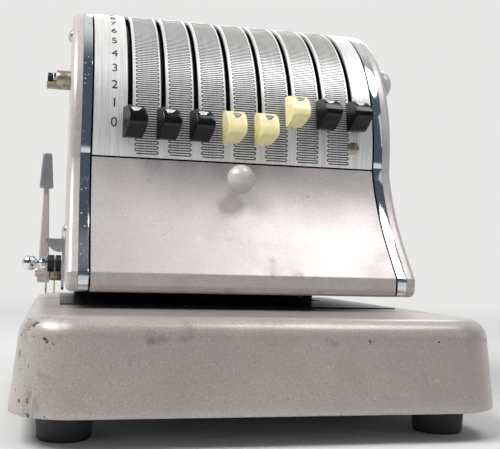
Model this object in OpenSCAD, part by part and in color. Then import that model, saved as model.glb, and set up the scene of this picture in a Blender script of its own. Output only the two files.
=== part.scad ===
// Desk check writer: a hollow base on rubber feet, a rear column, and a head with a curved
// face plate, eight type levers, a hinged front cover and a side handle that lifts the platen.
// X runs to the right, Y to the back and Z up. The origin is under the middle of the feet.

/* [Base] */
// Width of the base at its foot
base_w = 220; // [210:1:240]
// Depth of the base at its foot
base_d = 261; // [256:1:290]
// Height of the base from its lower edge to its flat top
base_h = 40.5; // [37:0.5:52]
// Wall of the base casting
base_wall = 3; // [2:0.5:4]
// Plan radius of the base's upright corners
base_corner_r = 27; // [20:1:34]
// Radius that rounds the base's top edge
base_edge_r = 9.5; // [6:0.5:12]
// How far each side of the base leans in by the top
base_lean = 3.2; // [0:0.2:5]
// Thickness of the bottom plate
floor_t = 2; // [1.5:0.5:3]
// Width of the dark bed plate on the base's top
bed_w = 180; // [160:1:184]
// Thickness of the bed plate
bed_t = 0.6; // [0.4:0.1:1.2]

/* [Feet] */
// Height of a rubber foot
foot_h = 13; // [9:0.5:18]
// Diameter of a rubber foot at its top
foot_d = 25; // [20:0.5:30]
// Distance of a foot's centre from the base's side
foot_in_x = 23.5; // [20:0.5:30]
// Distance of a foot's centre from the base's front and back
foot_in_y = 30.5; // [26:0.5:38]

/* [Head] */
// Clear height of the throat between the base and the head
throat_gap = 7.8; // [7:0.2:12]
// Width of the head over its side cheeks
head_w = 176; // [174:1:190]
// Thickness of a side cheek
cheek_t = 5.6; // [5:0.2:7]
// Width of a bright trim band beside the face plate
band_w = 5; // [4:0.2:6]
// Wall of the sheet covers of the head
cover_t = 2; // [1.5:0.1:2.4]
// Distance from the base's front to the face plate's lower edge
face_setback = 95; // [88:1:100]
// Depth of the head behind the lever shaft
head_back = 73.6; // [72:0.2:80]
// Radius that rounds the head's top back edge
back_r = 34; // [16:1:40]
// Thickness of a side frame
frame_t = 2.5; // [2:0.1:3]

/* [Face plate] */
// Radius of the face plate about the lever shaft
face_r = 84.4; // [83:0.2:90]
// Height of the lever shaft above the face plate's lower edge
edge_drop = 10.3; // [8:0.1:13]
// Thickness of the face plate
plate_t = 1.5; // [1:0.1:2]
// Angle of the face plate's upper end above the front
plate_top_a = 84; // [82:0.5:88]
// Width of a key slot
slot_w = 2.7; // [2.4:0.1:3.2]
// Angle of the upper end of the slots
slot_top_a = 76.5; // [75:0.5:78]
// Width of a digit window
window_w = 10.8; // [8:0.2:11]
// Height of a digit window along the face
window_h = 6.5; // [5:0.5:7]

/* [Front cover] */
// Height of the front cover
cover_h = 68.7; // [66:0.1:76]
// How far the chin stands out before the face plate's lower edge
chin_out = 36.8; // [30:0.2:42]
// Radius of the chin, concentric with the cover's hinge
chin_r = 7.7; // [6.5:0.1:9]
// How far the middle of the sweep stands out
sweep_out = 24.2; // [20:0.2:28]
// How far the middle of the sweep lies below the plate
sweep_drop = 43.6; // [40:0.2:46]
// Diameter of the round cover knob
knob_d = 14.8; // [12:0.2:18]
// Height of the cover knob's centre below the face plate
knob_drop = 9.6; // [8:0.5:16]
// Distance of the cover knob from the middle of the head
knob_x = -0.5; // [-10:0.2:10]

/* [Levers and keys] */
// Distance from one type lever to the next
key_pitch = 17.5; // [17:0.1:18]
// Distance of the first slot from the face plate's left edge
first_slot_in = 19.6; // [18:0.1:22]
// Angle between two positions of a key
key_step = 7.2; // [6:0.1:7.3]
// Angle of a key's middle above the front at its lowest position
key_low_a = 5.3; // [5:0.1:5.6]
// Thickness of a type lever
lever_t = 1.6; // [1.2:0.1:2]
// Diameter of the lever shaft
lever_shaft_d = 10; // [8:0.5:12]
// Radius of the printing faces about the lever shaft
type_r = 78.2; // [77:0.1:78.2]
// Angle of the printing line before the lever shaft
print_lean = 8; // [4:0.5:9]
// Height of a key
key_h = 17; // [16:0.5:18]
// How far a key stands out from its foot
key_out = 10; // [8:0.5:13]

/* [Platen and handle] */
// Lift of the platen when the handle is pulled
platen_lift = 8.3; // [5:0.1:8.3]
// Turn of the handle from rest to its stop
handle_turn = 60; // [45:1:60]
// Diameter of the main shaft
main_shaft_d = 12; // [10:0.5:13]
// Length of the handle from its shaft to the middle of the grip
handle_len = 88.4; // [80:0.5:100]
// Angle of the handle above level at rest
handle_rise = 30; // [20:1:45]
// Greatest width of the grip, seen from the side
grip_w = 17; // [14:0.5:24]
// Greatest thickness of the grip, seen from the front
grip_t = 10.4; // [9.6:0.2:12]

/* [Side controls] */
// Diameter of the guide rod
guide_rod_d = 4.6; // [4:0.2:6]
// Diameter of the ball on the guide rod's end
ball_d = 9; // [8:0.2:11]
// Height of the check stop plate
stop_h = 22.5; // [16:0.5:23]
// Height of the small side lever's paddle
paddle_h = 21.4; // [16:0.2:26]
// Width of the paddle's lower edge
paddle_w = 8.2; // [6:0.2:10]

/* [Hidden] */
$fn = 72;

paint = "#A69B96";
steel = "#B9BCC0";
dark = "#2A2A2C";
brass = "#B7A06A";
pearl = "#C9C7C3";
cream = "#EFE6A8";

LEVERS = 8;
STEPS = 9;
rest_step = [0, 0, 0, 0, 0, 1, 1, 1];
key_colours = [dark, dark, dark, cream, cream, cream, dark, dark];

fit = 0.05;          // radial clearance of a turning or sliding fit
gap = 0.5;           // space between pieces that pass each other
eps = 0.01;

// Places that follow from the sizes
base_z = foot_h;
base_top = base_z + base_h;
head_z = base_top + throat_gap;
edge_z = head_z + cover_h;
face_y = -base_d / 2 + face_setback;
lever_y = face_y + face_r;
lever_z = edge_z + edge_drop;
back_y = lever_y + head_back;
foot_x = base_w / 2 - foot_in_x;
foot_y = base_d / 2 - foot_in_y;

band_out = head_w / 2 - cheek_t;
plate_half = band_out - band_w;
frame_in = plate_half + gap;
slot_x = [for (k = [0:LEVERS - 1]) -plate_half + first_slot_in + k * key_pitch];
lever_left = slot_x[0];
lever_right = slot_x[LEVERS - 1];

blade_half = 2.2;    // half height of a lever's blade where it passes its slot
blade_half_a = blade_half / face_r * 180 / PI;
blade_up_a = 3.7;    // a blade's angle above its key's middle
blade_a = key_low_a + blade_up_a;
print_y = lever_y - type_r * sin(print_lean);
type_half = 3;       // half width of a type slug
platen_w = 12;
platen_x0 = lever_left - type_half - 1.3;
platen_x1 = lever_right + type_half + 1.2;

// Chin and hinge of the front cover, from the face plate's lower edge
edge_in = face_r - sqrt(face_r * face_r - edge_drop * edge_drop);
edge_a = asin(edge_drop / face_r);
chin_c = [-chin_out + chin_r, -cover_h + chin_r];

// Main shaft, eccentrics and pull rods
main_y = lever_y + 39;
main_z = lever_z - 2.3;
ecc_throw = platen_lift / (2 * sin(handle_turn / 2));
ecc_r = ecc_throw + main_shaft_d / 2 + 0.7;
rod_t = 3;
rod_x = frame_in - 7.7;
strap_wall = 4;
strap_front = ecc_r - ecc_throw * cos(handle_turn / 2) + gap;
strap_back = ecc_r + ecc_throw + gap;
strap_half = ecc_r + 0.1;
pull_w = 12;
pull_y = main_y;
yoke_z = base_z + 13;
yoke_h = 8;

column_y0 = main_y - 5;
column_y1 = back_y - cover_t - gap;
column_wall = 3;
column_top = head_z + 5.7;
rod_hole = 0.8;

handle_x = head_w / 2 + 2.2;
arm_t = 5;
grip_off = 3.8;      // distance of the grip's middle from the arm's middle
grip_x = handle_x + arm_t / 2 + grip_off;

// Places on the sides, from the face plate's lower edge
guide_reach = 24;    // how far the guide rod's ball stands out from the cheek
guide_at = [62, -56.4];
guide_end = head_w / 2 + guide_reach;
side_lever_at = [92, -62];
stud_at = [100, 58.8];
screw_places = [[77, 81], [42, -38], [132, -40]];

// Row frame helpers
module at_head() { translate([0, face_y, edge_z]) children(); }
module slab(x0, t) { translate([x0, 0, 0]) rotate([90, 0, 90]) linear_extrude(t) children(); }
module rod(x0, x1, r) { translate([x0, 0, 0]) rotate([0, 90, 0]) cylinder(h = x1 - x0, r = r); }
module both_sides() {
    children();
    mirror([1, 0, 0]) children();
}
// Part of a ring about the X axis, from angle a1 to a2 measured up from the front
module ring_part(r1, r2, x0, x1, a1, a2) {
    rotate([90, 0, 90]) rotate([0, 0, 180 - a2])
        rotate_extrude(angle = a2 - a1, $fn = 240)
            translate([r1, x0]) square([r2 - r1, x1 - x0]);
}

// Lists of points
function rev(p) = [for (i = [len(p) - 1:-1:0]) p[i]];
function arc(c, r, a0, a1, n) = [for (i = [0:n - 1]) let (a = a0 + (a1 - a0) * i / n)
    c + r * [cos(a), sin(a)]];
function bezier(p0, p1, p2, p3, n) = [for (i = [0:n - 1]) let (t = i / n, u = 1 - t)
    u * u * u * p0 + 3 * u * u * t * p1 + 3 * u * t * t * p2 + t * t * t * p3];
function unit(v) = v / norm(v);
// Points moved to the left of their path by d, with the ends of an open path kept square
function shifted(p, d, closed) = let (n = len(p)) [for (i = [0:n - 1]) let (
    a = closed ? p[(i + n - 1) % n] : p[max(i - 1, 0)],
    b = closed ? p[(i + 1) % n] : p[min(i + 1, n - 1)],
    t = unit(b - a)) p[i] + d * [-t[1], t[0]]];
function strip(p, d) = concat(p, rev(shifted(p, d, false)));
function rounded_rect(hx, hy, r, n = 9) = [for (q = [0:3]) for (i = [0:n - 1])
    let (a = 90 * (q + i / (n - 1)), sx = (q == 0 || q == 3) ? 1 : -1, sy = q < 2 ? 1 : -1)
    [sx * (hx - r) + r * cos(a), sy * (hy - r) + r * sin(a)]];

// Solid skinned over rings of points that all have the same count
module skin(rings) {
    n = len(rings[0]);
    m = len(rings);
    points = [for (r = rings) each r];
    sides = [for (j = [0:m - 2]) for (i = [0:n - 1]) let (k = (i + 1) % n)
        each [[j * n + i, j * n + n + i, j * n + n + k], [j * n + i, j * n + n + k, j * n + k]]];
    ends = [[for (i = [0:n - 1]) i], [for (i = [n - 1:-1:0]) (m - 1) * n + i]];
    polyhedron(points = points, faces = concat(sides, ends), convexity = 6);
}

// Head profile in Y and Z, from the face plate's lower edge
function face_arc(a0, a1, n = 32) = arc([face_r, edge_drop], face_r, 180 - a0, 180 - a1, n);
function sweep() = concat(
    bezier([edge_in, 0], [-0.165 * sweep_out, -0.32 * sweep_drop],
        [-0.29 * sweep_out, -0.665 * sweep_drop], [-sweep_out, -sweep_drop], 10),
    bezier([-sweep_out, -sweep_drop],
        [-sweep_out - 0.54 * (chin_out - sweep_out), -sweep_drop - 0.333 * (chin_drop - sweep_drop)],
        [-chin_out, -sweep_drop - 0.626 * (chin_drop - sweep_drop)], [-chin_out, -chin_drop], 7));
chin_drop = cover_h - chin_r;
head_len = face_r + head_back;
top_z = face_r + edge_drop;
foot_round = 8;
function chin_arc(n = 8) = arc(chin_c, chin_r, 180, 270, n);
function back_path(a0) = concat(
    face_arc(a0, 90, 4),
    [[face_r, top_z]],
    rev(arc([head_len - back_r, top_z - back_r], back_r, 0, 90 + 90 / 14, 15)),
    [[head_len, -cover_h]]);
function head_profile() = concat(
    [chin_c - [0, chin_r]],
    arc([head_len - foot_round, foot_round - cover_h], foot_round, -90, 0, 5),
    [[head_len, foot_round - cover_h]],
    arc([head_len - back_r, top_z - back_r], back_r, 0, 90, 14),
    [[head_len - back_r, top_z]],
    face_arc(90, -edge_a, 36),
    sweep(),
    chin_arc());

// ---- Base ----
function base_ring(z, inset, wall = 0) = [for (p = rounded_rect(base_w / 2 - inset - wall,
    base_d / 2 - inset - wall, max(base_corner_r - inset - wall, 1.5))) [p[0], p[1], z]];
side_top = base_top - base_edge_r;
function base_rings(wall, low, edge_steps = 6) = let (r = base_edge_r - wall) concat(
    [base_ring(low, 0, wall), base_ring(side_top, base_lean, wall)],
    [for (i = [1:edge_steps]) let (a = 90 * i / edge_steps)
        base_ring(side_top + r * sin(a), base_lean + r * (1 - cos(a)), wall)]);

module at_feet() {
    for (sx = [-1, 1], sy = [-1, 1]) translate([sx * foot_x, sy * foot_y, 0]) children();
}
module platen_window(spare) {
    translate([platen_x0 - spare, print_y - platen_w / 2 - spare, base_top - 2 * base_wall])
        cube([platen_x1 - platen_x0 + 2 * spare, platen_w + 2 * spare, 4 * base_wall]);
}
module rod_windows() {
    both_sides() translate([rod_x - rod_hole, pull_y - pull_w / 2 - rod_hole, base_top - 2 * base_wall])
        cube([rod_t + 2 * rod_hole, pull_w + 2 * rod_hole, column_top - base_top + 3 * base_wall]);
}
column_screw_x = 60;
column_screw_in = 7.5;
module at_column_screws() {
    for (sx = [-1, 1], y = [column_y0 + column_screw_in, column_y1 - column_screw_in])
        translate([sx * column_screw_x, y, 0]) children();
}
boss_r = 6;
screw_r = 2;
screw_head_r = 4;
screw_head_h = 2.4;
screw_seat = 5;      // depth of a foot's pocket, where its screw's head sits
guide_pin_r = 2.5;
guide_pin_x = frame_in + 1.1;
module base_shell() {
    color(paint) difference() {
        union() {
            difference() {
                skin(base_rings(0, base_z));
                translate([0, 0, -eps]) skin(base_rings(base_wall, base_z));
            }
            at_feet() translate([0, 0, base_z + floor_t])
                cylinder(h = base_h - floor_t - base_wall + eps, r = boss_r);
        }
        at_feet() translate([0, 0, base_z]) cylinder(h = base_h - base_wall - 2, r = screw_r);
        platen_window(1);
        rod_windows();
        at_column_screws() translate([0, 0, base_top - 2 * base_wall])
            cylinder(h = 3 * base_wall, r = screw_r + 0.2);
    }
}
module bottom_plate() {
    outline = rounded_rect(base_w / 2 - base_wall - 0.5, base_d / 2 - base_wall - 0.5,
        base_corner_r - base_wall);
    color(steel) difference() {
        translate([0, 0, base_z]) linear_extrude(floor_t) polygon(outline);
        at_feet() translate([0, 0, base_z - 1]) cylinder(h = floor_t + 2, r = screw_r + 0.2);
    }
}
bed_y0 = face_y - 4;
module bed_plate() {
    color(dark) difference() {
        translate([-bed_w / 2, bed_y0, base_top]) cube([bed_w, column_y0 - 0.3 - bed_y0, bed_t]);
        platen_window(1);
        rod_windows();
    }
}
module rubber_feet() {
    color(dark) at_feet() difference() {
        cylinder(h = foot_h, r1 = foot_d / 2 - 1, r2 = foot_d / 2);
        translate([0, 0, -eps]) cylinder(h = screw_seat + eps, r = 5);
        cylinder(h = foot_h + 1, r = screw_r + 0.2);
    }
}
module foot_screws() {
    color(steel) at_feet() {
        translate([0, 0, screw_seat - screw_head_h]) cylinder(h = screw_head_h, r = screw_head_r);
        translate([0, 0, screw_seat - eps]) cylinder(h = foot_h + base_h / 3, r = screw_r);
    }
}
module platen_guides() {
    color(steel) both_sides() translate([guide_pin_x, print_y, base_z + floor_t])
        cylinder(h = base_h - floor_t - base_wall - 2 * eps, r = guide_pin_r);
}

// ---- Column, frames and floor of the head ----
module rear_column() {
    color(dark) difference() {
        translate([-plate_half, column_y0, base_top])
            cube([2 * plate_half, column_y1 - column_y0, column_top - base_top]);
        both_sides() translate([column_screw_x + boss_r, column_y0 + column_wall, base_top - 1])
            cube([plate_half - column_wall - column_screw_x - boss_r,
                column_y1 - column_y0 - 2 * column_wall, column_top - base_top + 2]);
        rod_windows();
        at_column_screws() translate([0, 0, base_top - eps]) cylinder(h = 10, r = screw_r);
    }
}
module column_screws() {
    color(steel) at_column_screws() {
        translate([0, 0, base_top - base_wall - 2 * eps - screw_head_h]) cylinder(h = screw_head_h, r = screw_head_r);
        translate([0, 0, base_top - base_wall - 3 * eps]) cylinder(h = base_wall + 9, r = screw_r);
    }
}
frame_inset = 2.3;
module frame_holes() {
    translate([0, face_r, edge_drop]) rod(frame_in - 1, frame_in + frame_t + 1, lever_shaft_d / 2);
    translate([0, main_y - face_y, main_z - edge_z])
        rod(frame_in - 1, frame_in + frame_t + 1, main_shaft_d / 2 + 2.5);
    translate([0, roller_y - face_y, roller_z - edge_z]) rod(frame_in - 1, frame_in + frame_t + 1, roller_pin_r);
    translate([0, chin_c[0], chin_c[1]]) rod(frame_in - 1, frame_in + frame_t + 1, cover_pin_r);
}
module side_frame() {
    color(steel) at_head() difference() {
        union() {
            slab(frame_in, frame_t) polygon(shifted(head_profile(), frame_inset, true));
            slab(frame_in, frame_t) translate([column_y0 - face_y, base_top - edge_z])
                square([column_y1 - column_y0, throat_gap + 6]);
        }
        frame_holes();
    }
}
module side_frame_left() { mirror([1, 0, 0]) side_frame(); }
module side_frame_right() { side_frame(); }

head_floor_t = 1.2;
module head_floor() {
    y0 = chin_c[0] + chin_r + 2;
    color(dark) difference() {
        at_head() translate([-plate_half, y0, -cover_h])
            cube([2 * plate_half, column_y0 - face_y - 0.3 - y0, head_floor_t]);
        at_head() translate([platen_x0 - 1, face_r - 24, -cover_h - 1])
            cube([platen_x1 - platen_x0 + 2, 35, head_floor_t + 2]);
        rod_windows();
    }
}

// ---- Cheeks and trim bands ----
cheek_wall = 2;
function cheek_ring(x, inset) = [for (p = shifted(head_profile(), inset, true)) [x, p[0], p[1]]];
module cheek() {
    rim = 3;
    lip = rim + 1.5;
    outer = head_w / 2;
    color(paint) at_head() difference() {
        skin(concat(
            [cheek_ring(outer - cheek_wall, lip), cheek_ring(band_out, lip), cheek_ring(band_out, 0)],
            [for (a = [0:22.5:90]) cheek_ring(outer - rim + rim * sin(a), rim * (1 - cos(a)))]));
        for (p = screw_places) translate([0, p[0], p[1]]) rod(outer - cheek_wall - 1, outer + 1, 1.7);
    }
}
module cheek_left() {
    difference() {
        mirror([1, 0, 0]) cheek();
        at_head() {
            translate([0, guide_at[0], guide_at[1]]) rod(-head_w, -band_out, guide_rod_d / 2 + 0.2);
            translate([0, side_lever_at[0], side_lever_at[1]]) rod(-head_w, -band_out, 3.2);
            translate([0, stud_at[0], stud_at[1]]) rod(-head_w, -band_out, 3.2);
        }
    }
}
module cheek_right() {
    difference() {
        cheek();
        translate([0, main_y, main_z]) rod(band_out - 1, head_w, main_shaft_d / 2 + 1);
    }
}
band_t = 1.8;
module trim_band() {
    path = concat(face_arc(plate_top_a, -edge_a, 36), sweep(), chin_arc(), [chin_c - [0, chin_r]]);
    color(steel) at_head() slab(plate_half, band_w) polygon(strip(path, band_t));
}
module trim_band_left() { mirror([1, 0, 0]) trim_band(); }
module trim_band_right() { trim_band(); }

// ---- Face plate and windows ----
slot_low_a = blade_a - blade_half_a - 0.4;
window_mid_a = (slot_top_a + plate_top_a) / 2 + 0.3;
window_half_a = window_h / face_r * 90 / PI;
window_off = -7.5;   // a window's middle, left of its slot
face_screw_x = lever_right + 0.4;
face_screw_z = 11.5;
face_screw_r = 3.4;
module at_levers() { translate([0, lever_y, lever_z]) children(); }
module face_plate() {
    color(steel) at_levers() difference() {
        ring_part(face_r - plate_t, face_r, -plate_half + 0.1, plate_half - 0.1, -edge_a + 0.3, plate_top_a);
        for (x = slot_x) {
            ring_part(face_r - 3 * plate_t, face_r + plate_t, x - slot_w / 2, x + slot_w / 2,
                slot_low_a, slot_top_a);
            ring_part(face_r - 3 * plate_t, face_r + plate_t, x + window_off - window_w / 2,
                x + window_off + window_w / 2, window_mid_a - window_half_a, window_mid_a + window_half_a);
        }
        translate([face_screw_x, -face_r + 6, face_screw_z - edge_drop]) rotate([90, 0, 0])
            cylinder(h = 8 * plate_t, r = 1.6);
    }
}
module window_lenses() {
    bulge = 0.7;
    color([0.8, 0.9, 0.95, 0.5]) at_levers() for (x = slot_x)
        ring_part(face_r - plate_t, face_r + bulge, x + window_off - window_w / 2 + fit,
            x + window_off + window_w / 2 - fit, window_mid_a - window_half_a + 0.05,
            window_mid_a + window_half_a - 0.05);
}
module face_screw() {
    color(steel) translate([face_screw_x, lever_y - face_r - 0.05, edge_z + face_screw_z])
        rotate([90, 0, 0]) difference() {
            union() {
                intersection() {
                    translate([0, 0, -4.3]) sphere(r = 5.5);
                    cylinder(h = 3, r = face_screw_r);
                }
                translate([0, 0, -2 * plate_t]) cylinder(h = 2 * plate_t + eps, r = 1.5);
            }
            translate([-4, -0.4, 0.5]) cube([8, 0.8, 3]);
        }
}

// ---- Top cover and side screws ----
module top_cover() {
    color(paint) at_head() slab(-band_out + 0.1, 2 * band_out - 0.2)
        polygon(strip(rev(back_path(plate_top_a + 0.3)), cover_t));
}
module cheek_screws() {
    color(steel) at_head() both_sides() for (p = screw_places)
        translate([head_w / 2, p[0], p[1]]) rotate([0, 90, 0]) {
            intersection() {
                translate([0, 0, -2.5]) sphere(r = 4.9);
                cylinder(h = 3, r = 4.2);
            }
            translate([0, 0, -cheek_wall]) cylinder(h = cheek_wall + eps, r = 1.5);
        }
}

// ---- Lever shaft, spacers and detents ----
hub_r = 9;
hub_l = 10;
module lever_shaft() {
    color(steel) at_levers() rod(-band_out + 0.5, band_out - 0.5, lever_shaft_d / 2);
}
module lever_spacers() {
    edges = concat([-frame_in], slot_x, [frame_in]);
    color(steel) at_levers() for (k = [0:LEVERS]) {
        x0 = edges[k] + (k == 0 ? 0.1 : hub_l / 2 + 0.1);
        x1 = edges[k + 1] - (k == LEVERS ? 0.1 : hub_l / 2 + 0.1);
        difference() {
            rod(x0, x1, hub_r - 1.5);
            rod(x0 - 1, x1 + 1, lever_shaft_d / 2);
        }
    }
}
detent_r = 22;
detent_a = 135;
detent_bar_r = 34;
detent_bar_half = 4;
plunger_r = 1.8;
module at_detent(x) {
    translate([x, 0, 0]) rotate([180 - detent_a, 0, 0]) rotate([-90, 0, 0]) children();
}
module detent_bar() {
    color(dark) at_levers() difference() {
        at_detent(-frame_in) translate([0, -detent_bar_half, detent_bar_r - detent_bar_half])
            cube([2 * frame_in, 2 * detent_bar_half, 2 * detent_bar_half]);
        for (x = slot_x) at_detent(x) cylinder(h = detent_bar_r + 2, r = plunger_r);
    }
}
module detent_plungers() {
    color(brass) at_levers() for (x = slot_x) at_detent(x) {
        translate([0, 0, detent_r + gap + plunger_r]) sphere(r = plunger_r);
        translate([0, 0, detent_r + gap + plunger_r]) cylinder(h = 10, r = plunger_r);
    }
}

// ---- Type levers and keys ----
blade_tip = face_r + 6.5;
arm_half = 5;
indicator_r = face_r - plate_t - 3.4;
indicator_w = 9;
slug_out = 4.2;
module at_lever(k) {
    translate([slot_x[k], lever_y, lever_z]) rotate([-key_step * rest_step[k], 0, 0]) children();
}
// Turns what points to the front up to angle a
module toward(a) { rotate([-a, 0, 0]) children(); }
module type_lever(k) {
    sector_front = -90 - 3.4 + print_lean;
    sector_back = sector_front - STEPS * key_step - 7;
    color(steel) at_lever(k) difference() {
        union() {
            rod(-hub_l / 2, hub_l / 2, hub_r);
            rod(-lever_t, lever_t, detent_r);
            toward(blade_a) {
                translate([-lever_t / 2, -indicator_r + 1, -arm_half]) cube([lever_t, indicator_r - 4, 2 * arm_half]);
                translate([-lever_t / 2, -blade_tip, -blade_half]) cube([lever_t, 20, 2 * blade_half]);
                translate([0, -face_r - 5, -2 * blade_half]) cylinder(h = 3 * blade_half, r = 1.3);
            }
            ring_part(indicator_r - 5.5, indicator_r, -lever_t / 2, lever_t / 2, blade_a - 4, window_mid_a + 3);
            ring_part(indicator_r - 0.8, indicator_r, window_off - indicator_w / 2, lever_t / 2,
                window_mid_a - STEPS * key_step - 3, window_mid_a + 3);
            ring_part(hub_r - 1, type_r - slug_out + 1, -lever_t / 2, lever_t / 2,
                sector_back, -90 + print_lean + 3.4);
            for (i = [0:STEPS]) toward(-90 + print_lean - i * key_step)
                translate([-type_half, -type_r, -3.6]) cube([2 * type_half, slug_out, 7.2]);
        }
        rod(-hub_l, hub_l, lever_shaft_d / 2 + fit);
        for (i = [0:STEPS]) toward(detent_a - i * key_step)
            translate([0, -detent_r - 1.2, 0]) rod(-4, 4, 2);
        for (a = [-32, -58]) toward(a - 46 + print_lean) translate([0, -48, 0]) rod(-4, 4, 11);
    }
}
// A key's outline seen from its side: distance out from the slot, and height
key_foot = face_r + 1.4;
function key_side() = [
    [0, -0.5], [0.25, -0.5], [1, -0.1], [0.97, 0.1], [0.86, 0.27], [0.62, 0.42], [0.3, 0.49], [0, 0.5]
];
module key(k) {
    left = -3.9;
    low_right = 4.3;
    side = [for (p = key_side()) [p[0] * key_out, p[1] * key_h]];
    color(key_colours[k]) at_lever(k) toward(key_low_a) difference() {
        skin([
            [for (p = rev(side)) [left + 0.4 * p[0], -key_foot - p[0], p[1]]],
            [for (p = rev(side)) [low_right + 0.356 * p[0] + 0.144 * (p[1] + key_h / 2),
                -key_foot - p[0], p[1]]]
        ]);
        toward(blade_up_a) {
            translate([-lever_t / 2 - fit, -blade_tip - 0.1, -blade_half - fit])
                cube([lever_t + 2 * fit, 20, 2 * blade_half + 2 * fit]);
            translate([0, -face_r - 5, -2 * blade_half - fit]) cylinder(h = 3 * blade_half + 2 * fit, r = 1.3 + fit);
        }
    }
}

// ---- Ink roller ----
roller_r = 6.5;
roller_pin_r = 3;
roller_y = lever_y + (type_r + gap + roller_r) * sin(44);
roller_z = lever_z - (type_r + gap + roller_r) * cos(44);
module roller_shaft() {
    color(steel) translate([0, roller_y, roller_z]) rod(-frame_in - frame_t, frame_in + frame_t, roller_pin_r);
}
module ink_roller() {
    color(dark) translate([0, roller_y, roller_z]) difference() {
        rod(platen_x0, platen_x1, roller_r);
        rod(platen_x0 - 1, platen_x1 + 1, roller_pin_r + fit);
    }
}

// ---- Front cover ----
cover_pin_r = 2;
ear_t = 3;
cover_half = plate_half - gap;
module cover_pins() {
    color(steel) at_head() both_sides() translate([0, chin_c[0], chin_c[1]])
        rod(cover_half - ear_t - 1, frame_in + frame_t, cover_pin_r);
}
function knob_y() = -0.1 * sweep_out - knob_drop * 0.3;
module knob_place() { at_head() translate([knob_x, knob_y(), -knob_drop]) rotate([90, 0, 0]) children(); }
module front_cover() {
    upper_edge = [edge_in - 0.15, -gap];
    path = concat([upper_edge], [for (p = sweep()) if (p[1] < -2) p], chin_arc(), [chin_c - [0, chin_r]]);
    color(paint) difference() {
        at_head() {
            slab(-cover_half, 2 * cover_half) polygon(strip(path, cover_t));
            both_sides() difference() {
                slab(cover_half - ear_t, ear_t) polygon(concat(
                    arc(chin_c, chin_r - 1, 170, 360, 24), [chin_c + [chin_r - 1, 8], chin_c + [-1, 13]]));
                translate([0, chin_c[0], chin_c[1]]) rod(cover_half - 9, cover_half + 5, cover_pin_r + fit);
            }
        }
        knob_place() translate([0, 0, -8]) cylinder(h = 12, r = 1.6);
    }
}
stem_len = 6;
module knob_stem() {
    color(steel) knob_place() {
        translate([0, 0, -5]) cylinder(h = stem_len + 4, r = 1.5);
        translate([0, 0, 0.4]) cylinder(h = stem_len - 1, r = 3);
    }
}
module cover_knob() {
    dome = 5.5;
    r = knob_d / 2;
    sphere_r = (r * r + dome * dome) / (2 * dome);
    color(pearl) knob_place() translate([0, 0, stem_len]) difference() {
        union() {
            translate([0, 0, 0]) cylinder(h = 1.6, r1 = r - 1, r2 = r);
            translate([0, 0, 1.6 - eps]) intersection() {
                cylinder(h = dome, r = r);
                translate([0, 0, dome - sphere_r]) sphere(r = sphere_r);
            }
        }
        translate([0, 0, -1]) cylinder(h = 4, r = 1.55);
    }
}

// ---- Platen yoke and pull rods ----
pad_t = 3;
platen_top = base_top - 0.5;
module platen_yoke() {
    beam_half = guide_pin_x + 4;
    color(steel) difference() {
        union() {
            translate([-beam_half, print_y - platen_w / 2, yoke_z]) cube([2 * beam_half, platen_w, yoke_h]);
            translate([platen_x0, print_y - platen_w / 2, yoke_z])
                cube([platen_x1 - platen_x0, platen_w, platen_top - pad_t - yoke_z]);
            both_sides() translate([rod_x + rod_t, print_y, yoke_z])
                cube([rod_t, pull_y + pull_w / 2 - print_y, yoke_h]);
        }
        both_sides() translate([guide_pin_x, print_y, yoke_z - 1])
            cylinder(h = yoke_h + 2, r = guide_pin_r + fit);
    }
}
module platen_pad() {
    color(dark) translate([platen_x0, print_y - platen_w / 2, platen_top - pad_t])
        cube([platen_x1 - platen_x0, platen_w, pad_t]);
}
module pull_rods() {
    strap_z = main_z - ecc_throw * sin(handle_turn / 2);
    color(steel) both_sides() difference() {
        union() {
            translate([rod_x, main_y - strap_front - strap_wall, strap_z - strap_half - strap_wall])
                cube([rod_t, strap_front + strap_back + 2 * strap_wall, 2 * (strap_half + strap_wall)]);
            translate([rod_x, pull_y - pull_w / 2, yoke_z])
                cube([rod_t, pull_w, strap_z - strap_half - yoke_z]);
        }
        translate([rod_x - 1, main_y - strap_front, strap_z - strap_half])
            cube([rod_t + 2, strap_front + strap_back, 2 * strap_half]);
    }
}

// ---- Main shaft and handle ----
module shaft_bushings() {
    color(brass) translate([0, main_y, main_z]) both_sides() difference() {
        rod(frame_in - 0.6, frame_in + frame_t, main_shaft_d / 2 + 2.5);
        rod(frame_in - 2, frame_in + frame_t + 1, main_shaft_d / 2 + fit);
    }
}
module main_shaft() {
    color(steel) translate([0, main_y, main_z]) {
        rod(-frame_in - frame_t - 0.5, handle_x + arm_t + 1.5, main_shaft_d / 2);
        both_sides() rotate([-handle_turn / 2, 0, 0]) translate([0, ecc_throw, 0])
            rod(rod_x, rod_x + rod_t, ecc_r);
    }
}
module return_spring() {
    turns = 3.5;
    r0 = main_shaft_d / 2 + 0.7;
    r1 = 15;
    leaf = 0.6;
    n = 84;
    spiral = [for (i = [0:n]) let (r = r0 + (r1 - r0) * i / n, a = 360 * turns * i / n) [r * cos(a), r * sin(a)]];
    color(dark) translate([0, main_y, main_z]) slab(-rod_x + 1.5, 4.5) polygon(strip(spiral, leaf));
}
module at_handle() { translate([0, main_y, main_z]) toward(handle_rise) children(); }
grip_l = 34;
tang_y = -handle_len + grip_l / 2;      // where the arm ends and the grip begins
tang_x0 = grip_x - 1.6;
tang_x1 = grip_x + 1.6;
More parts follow.
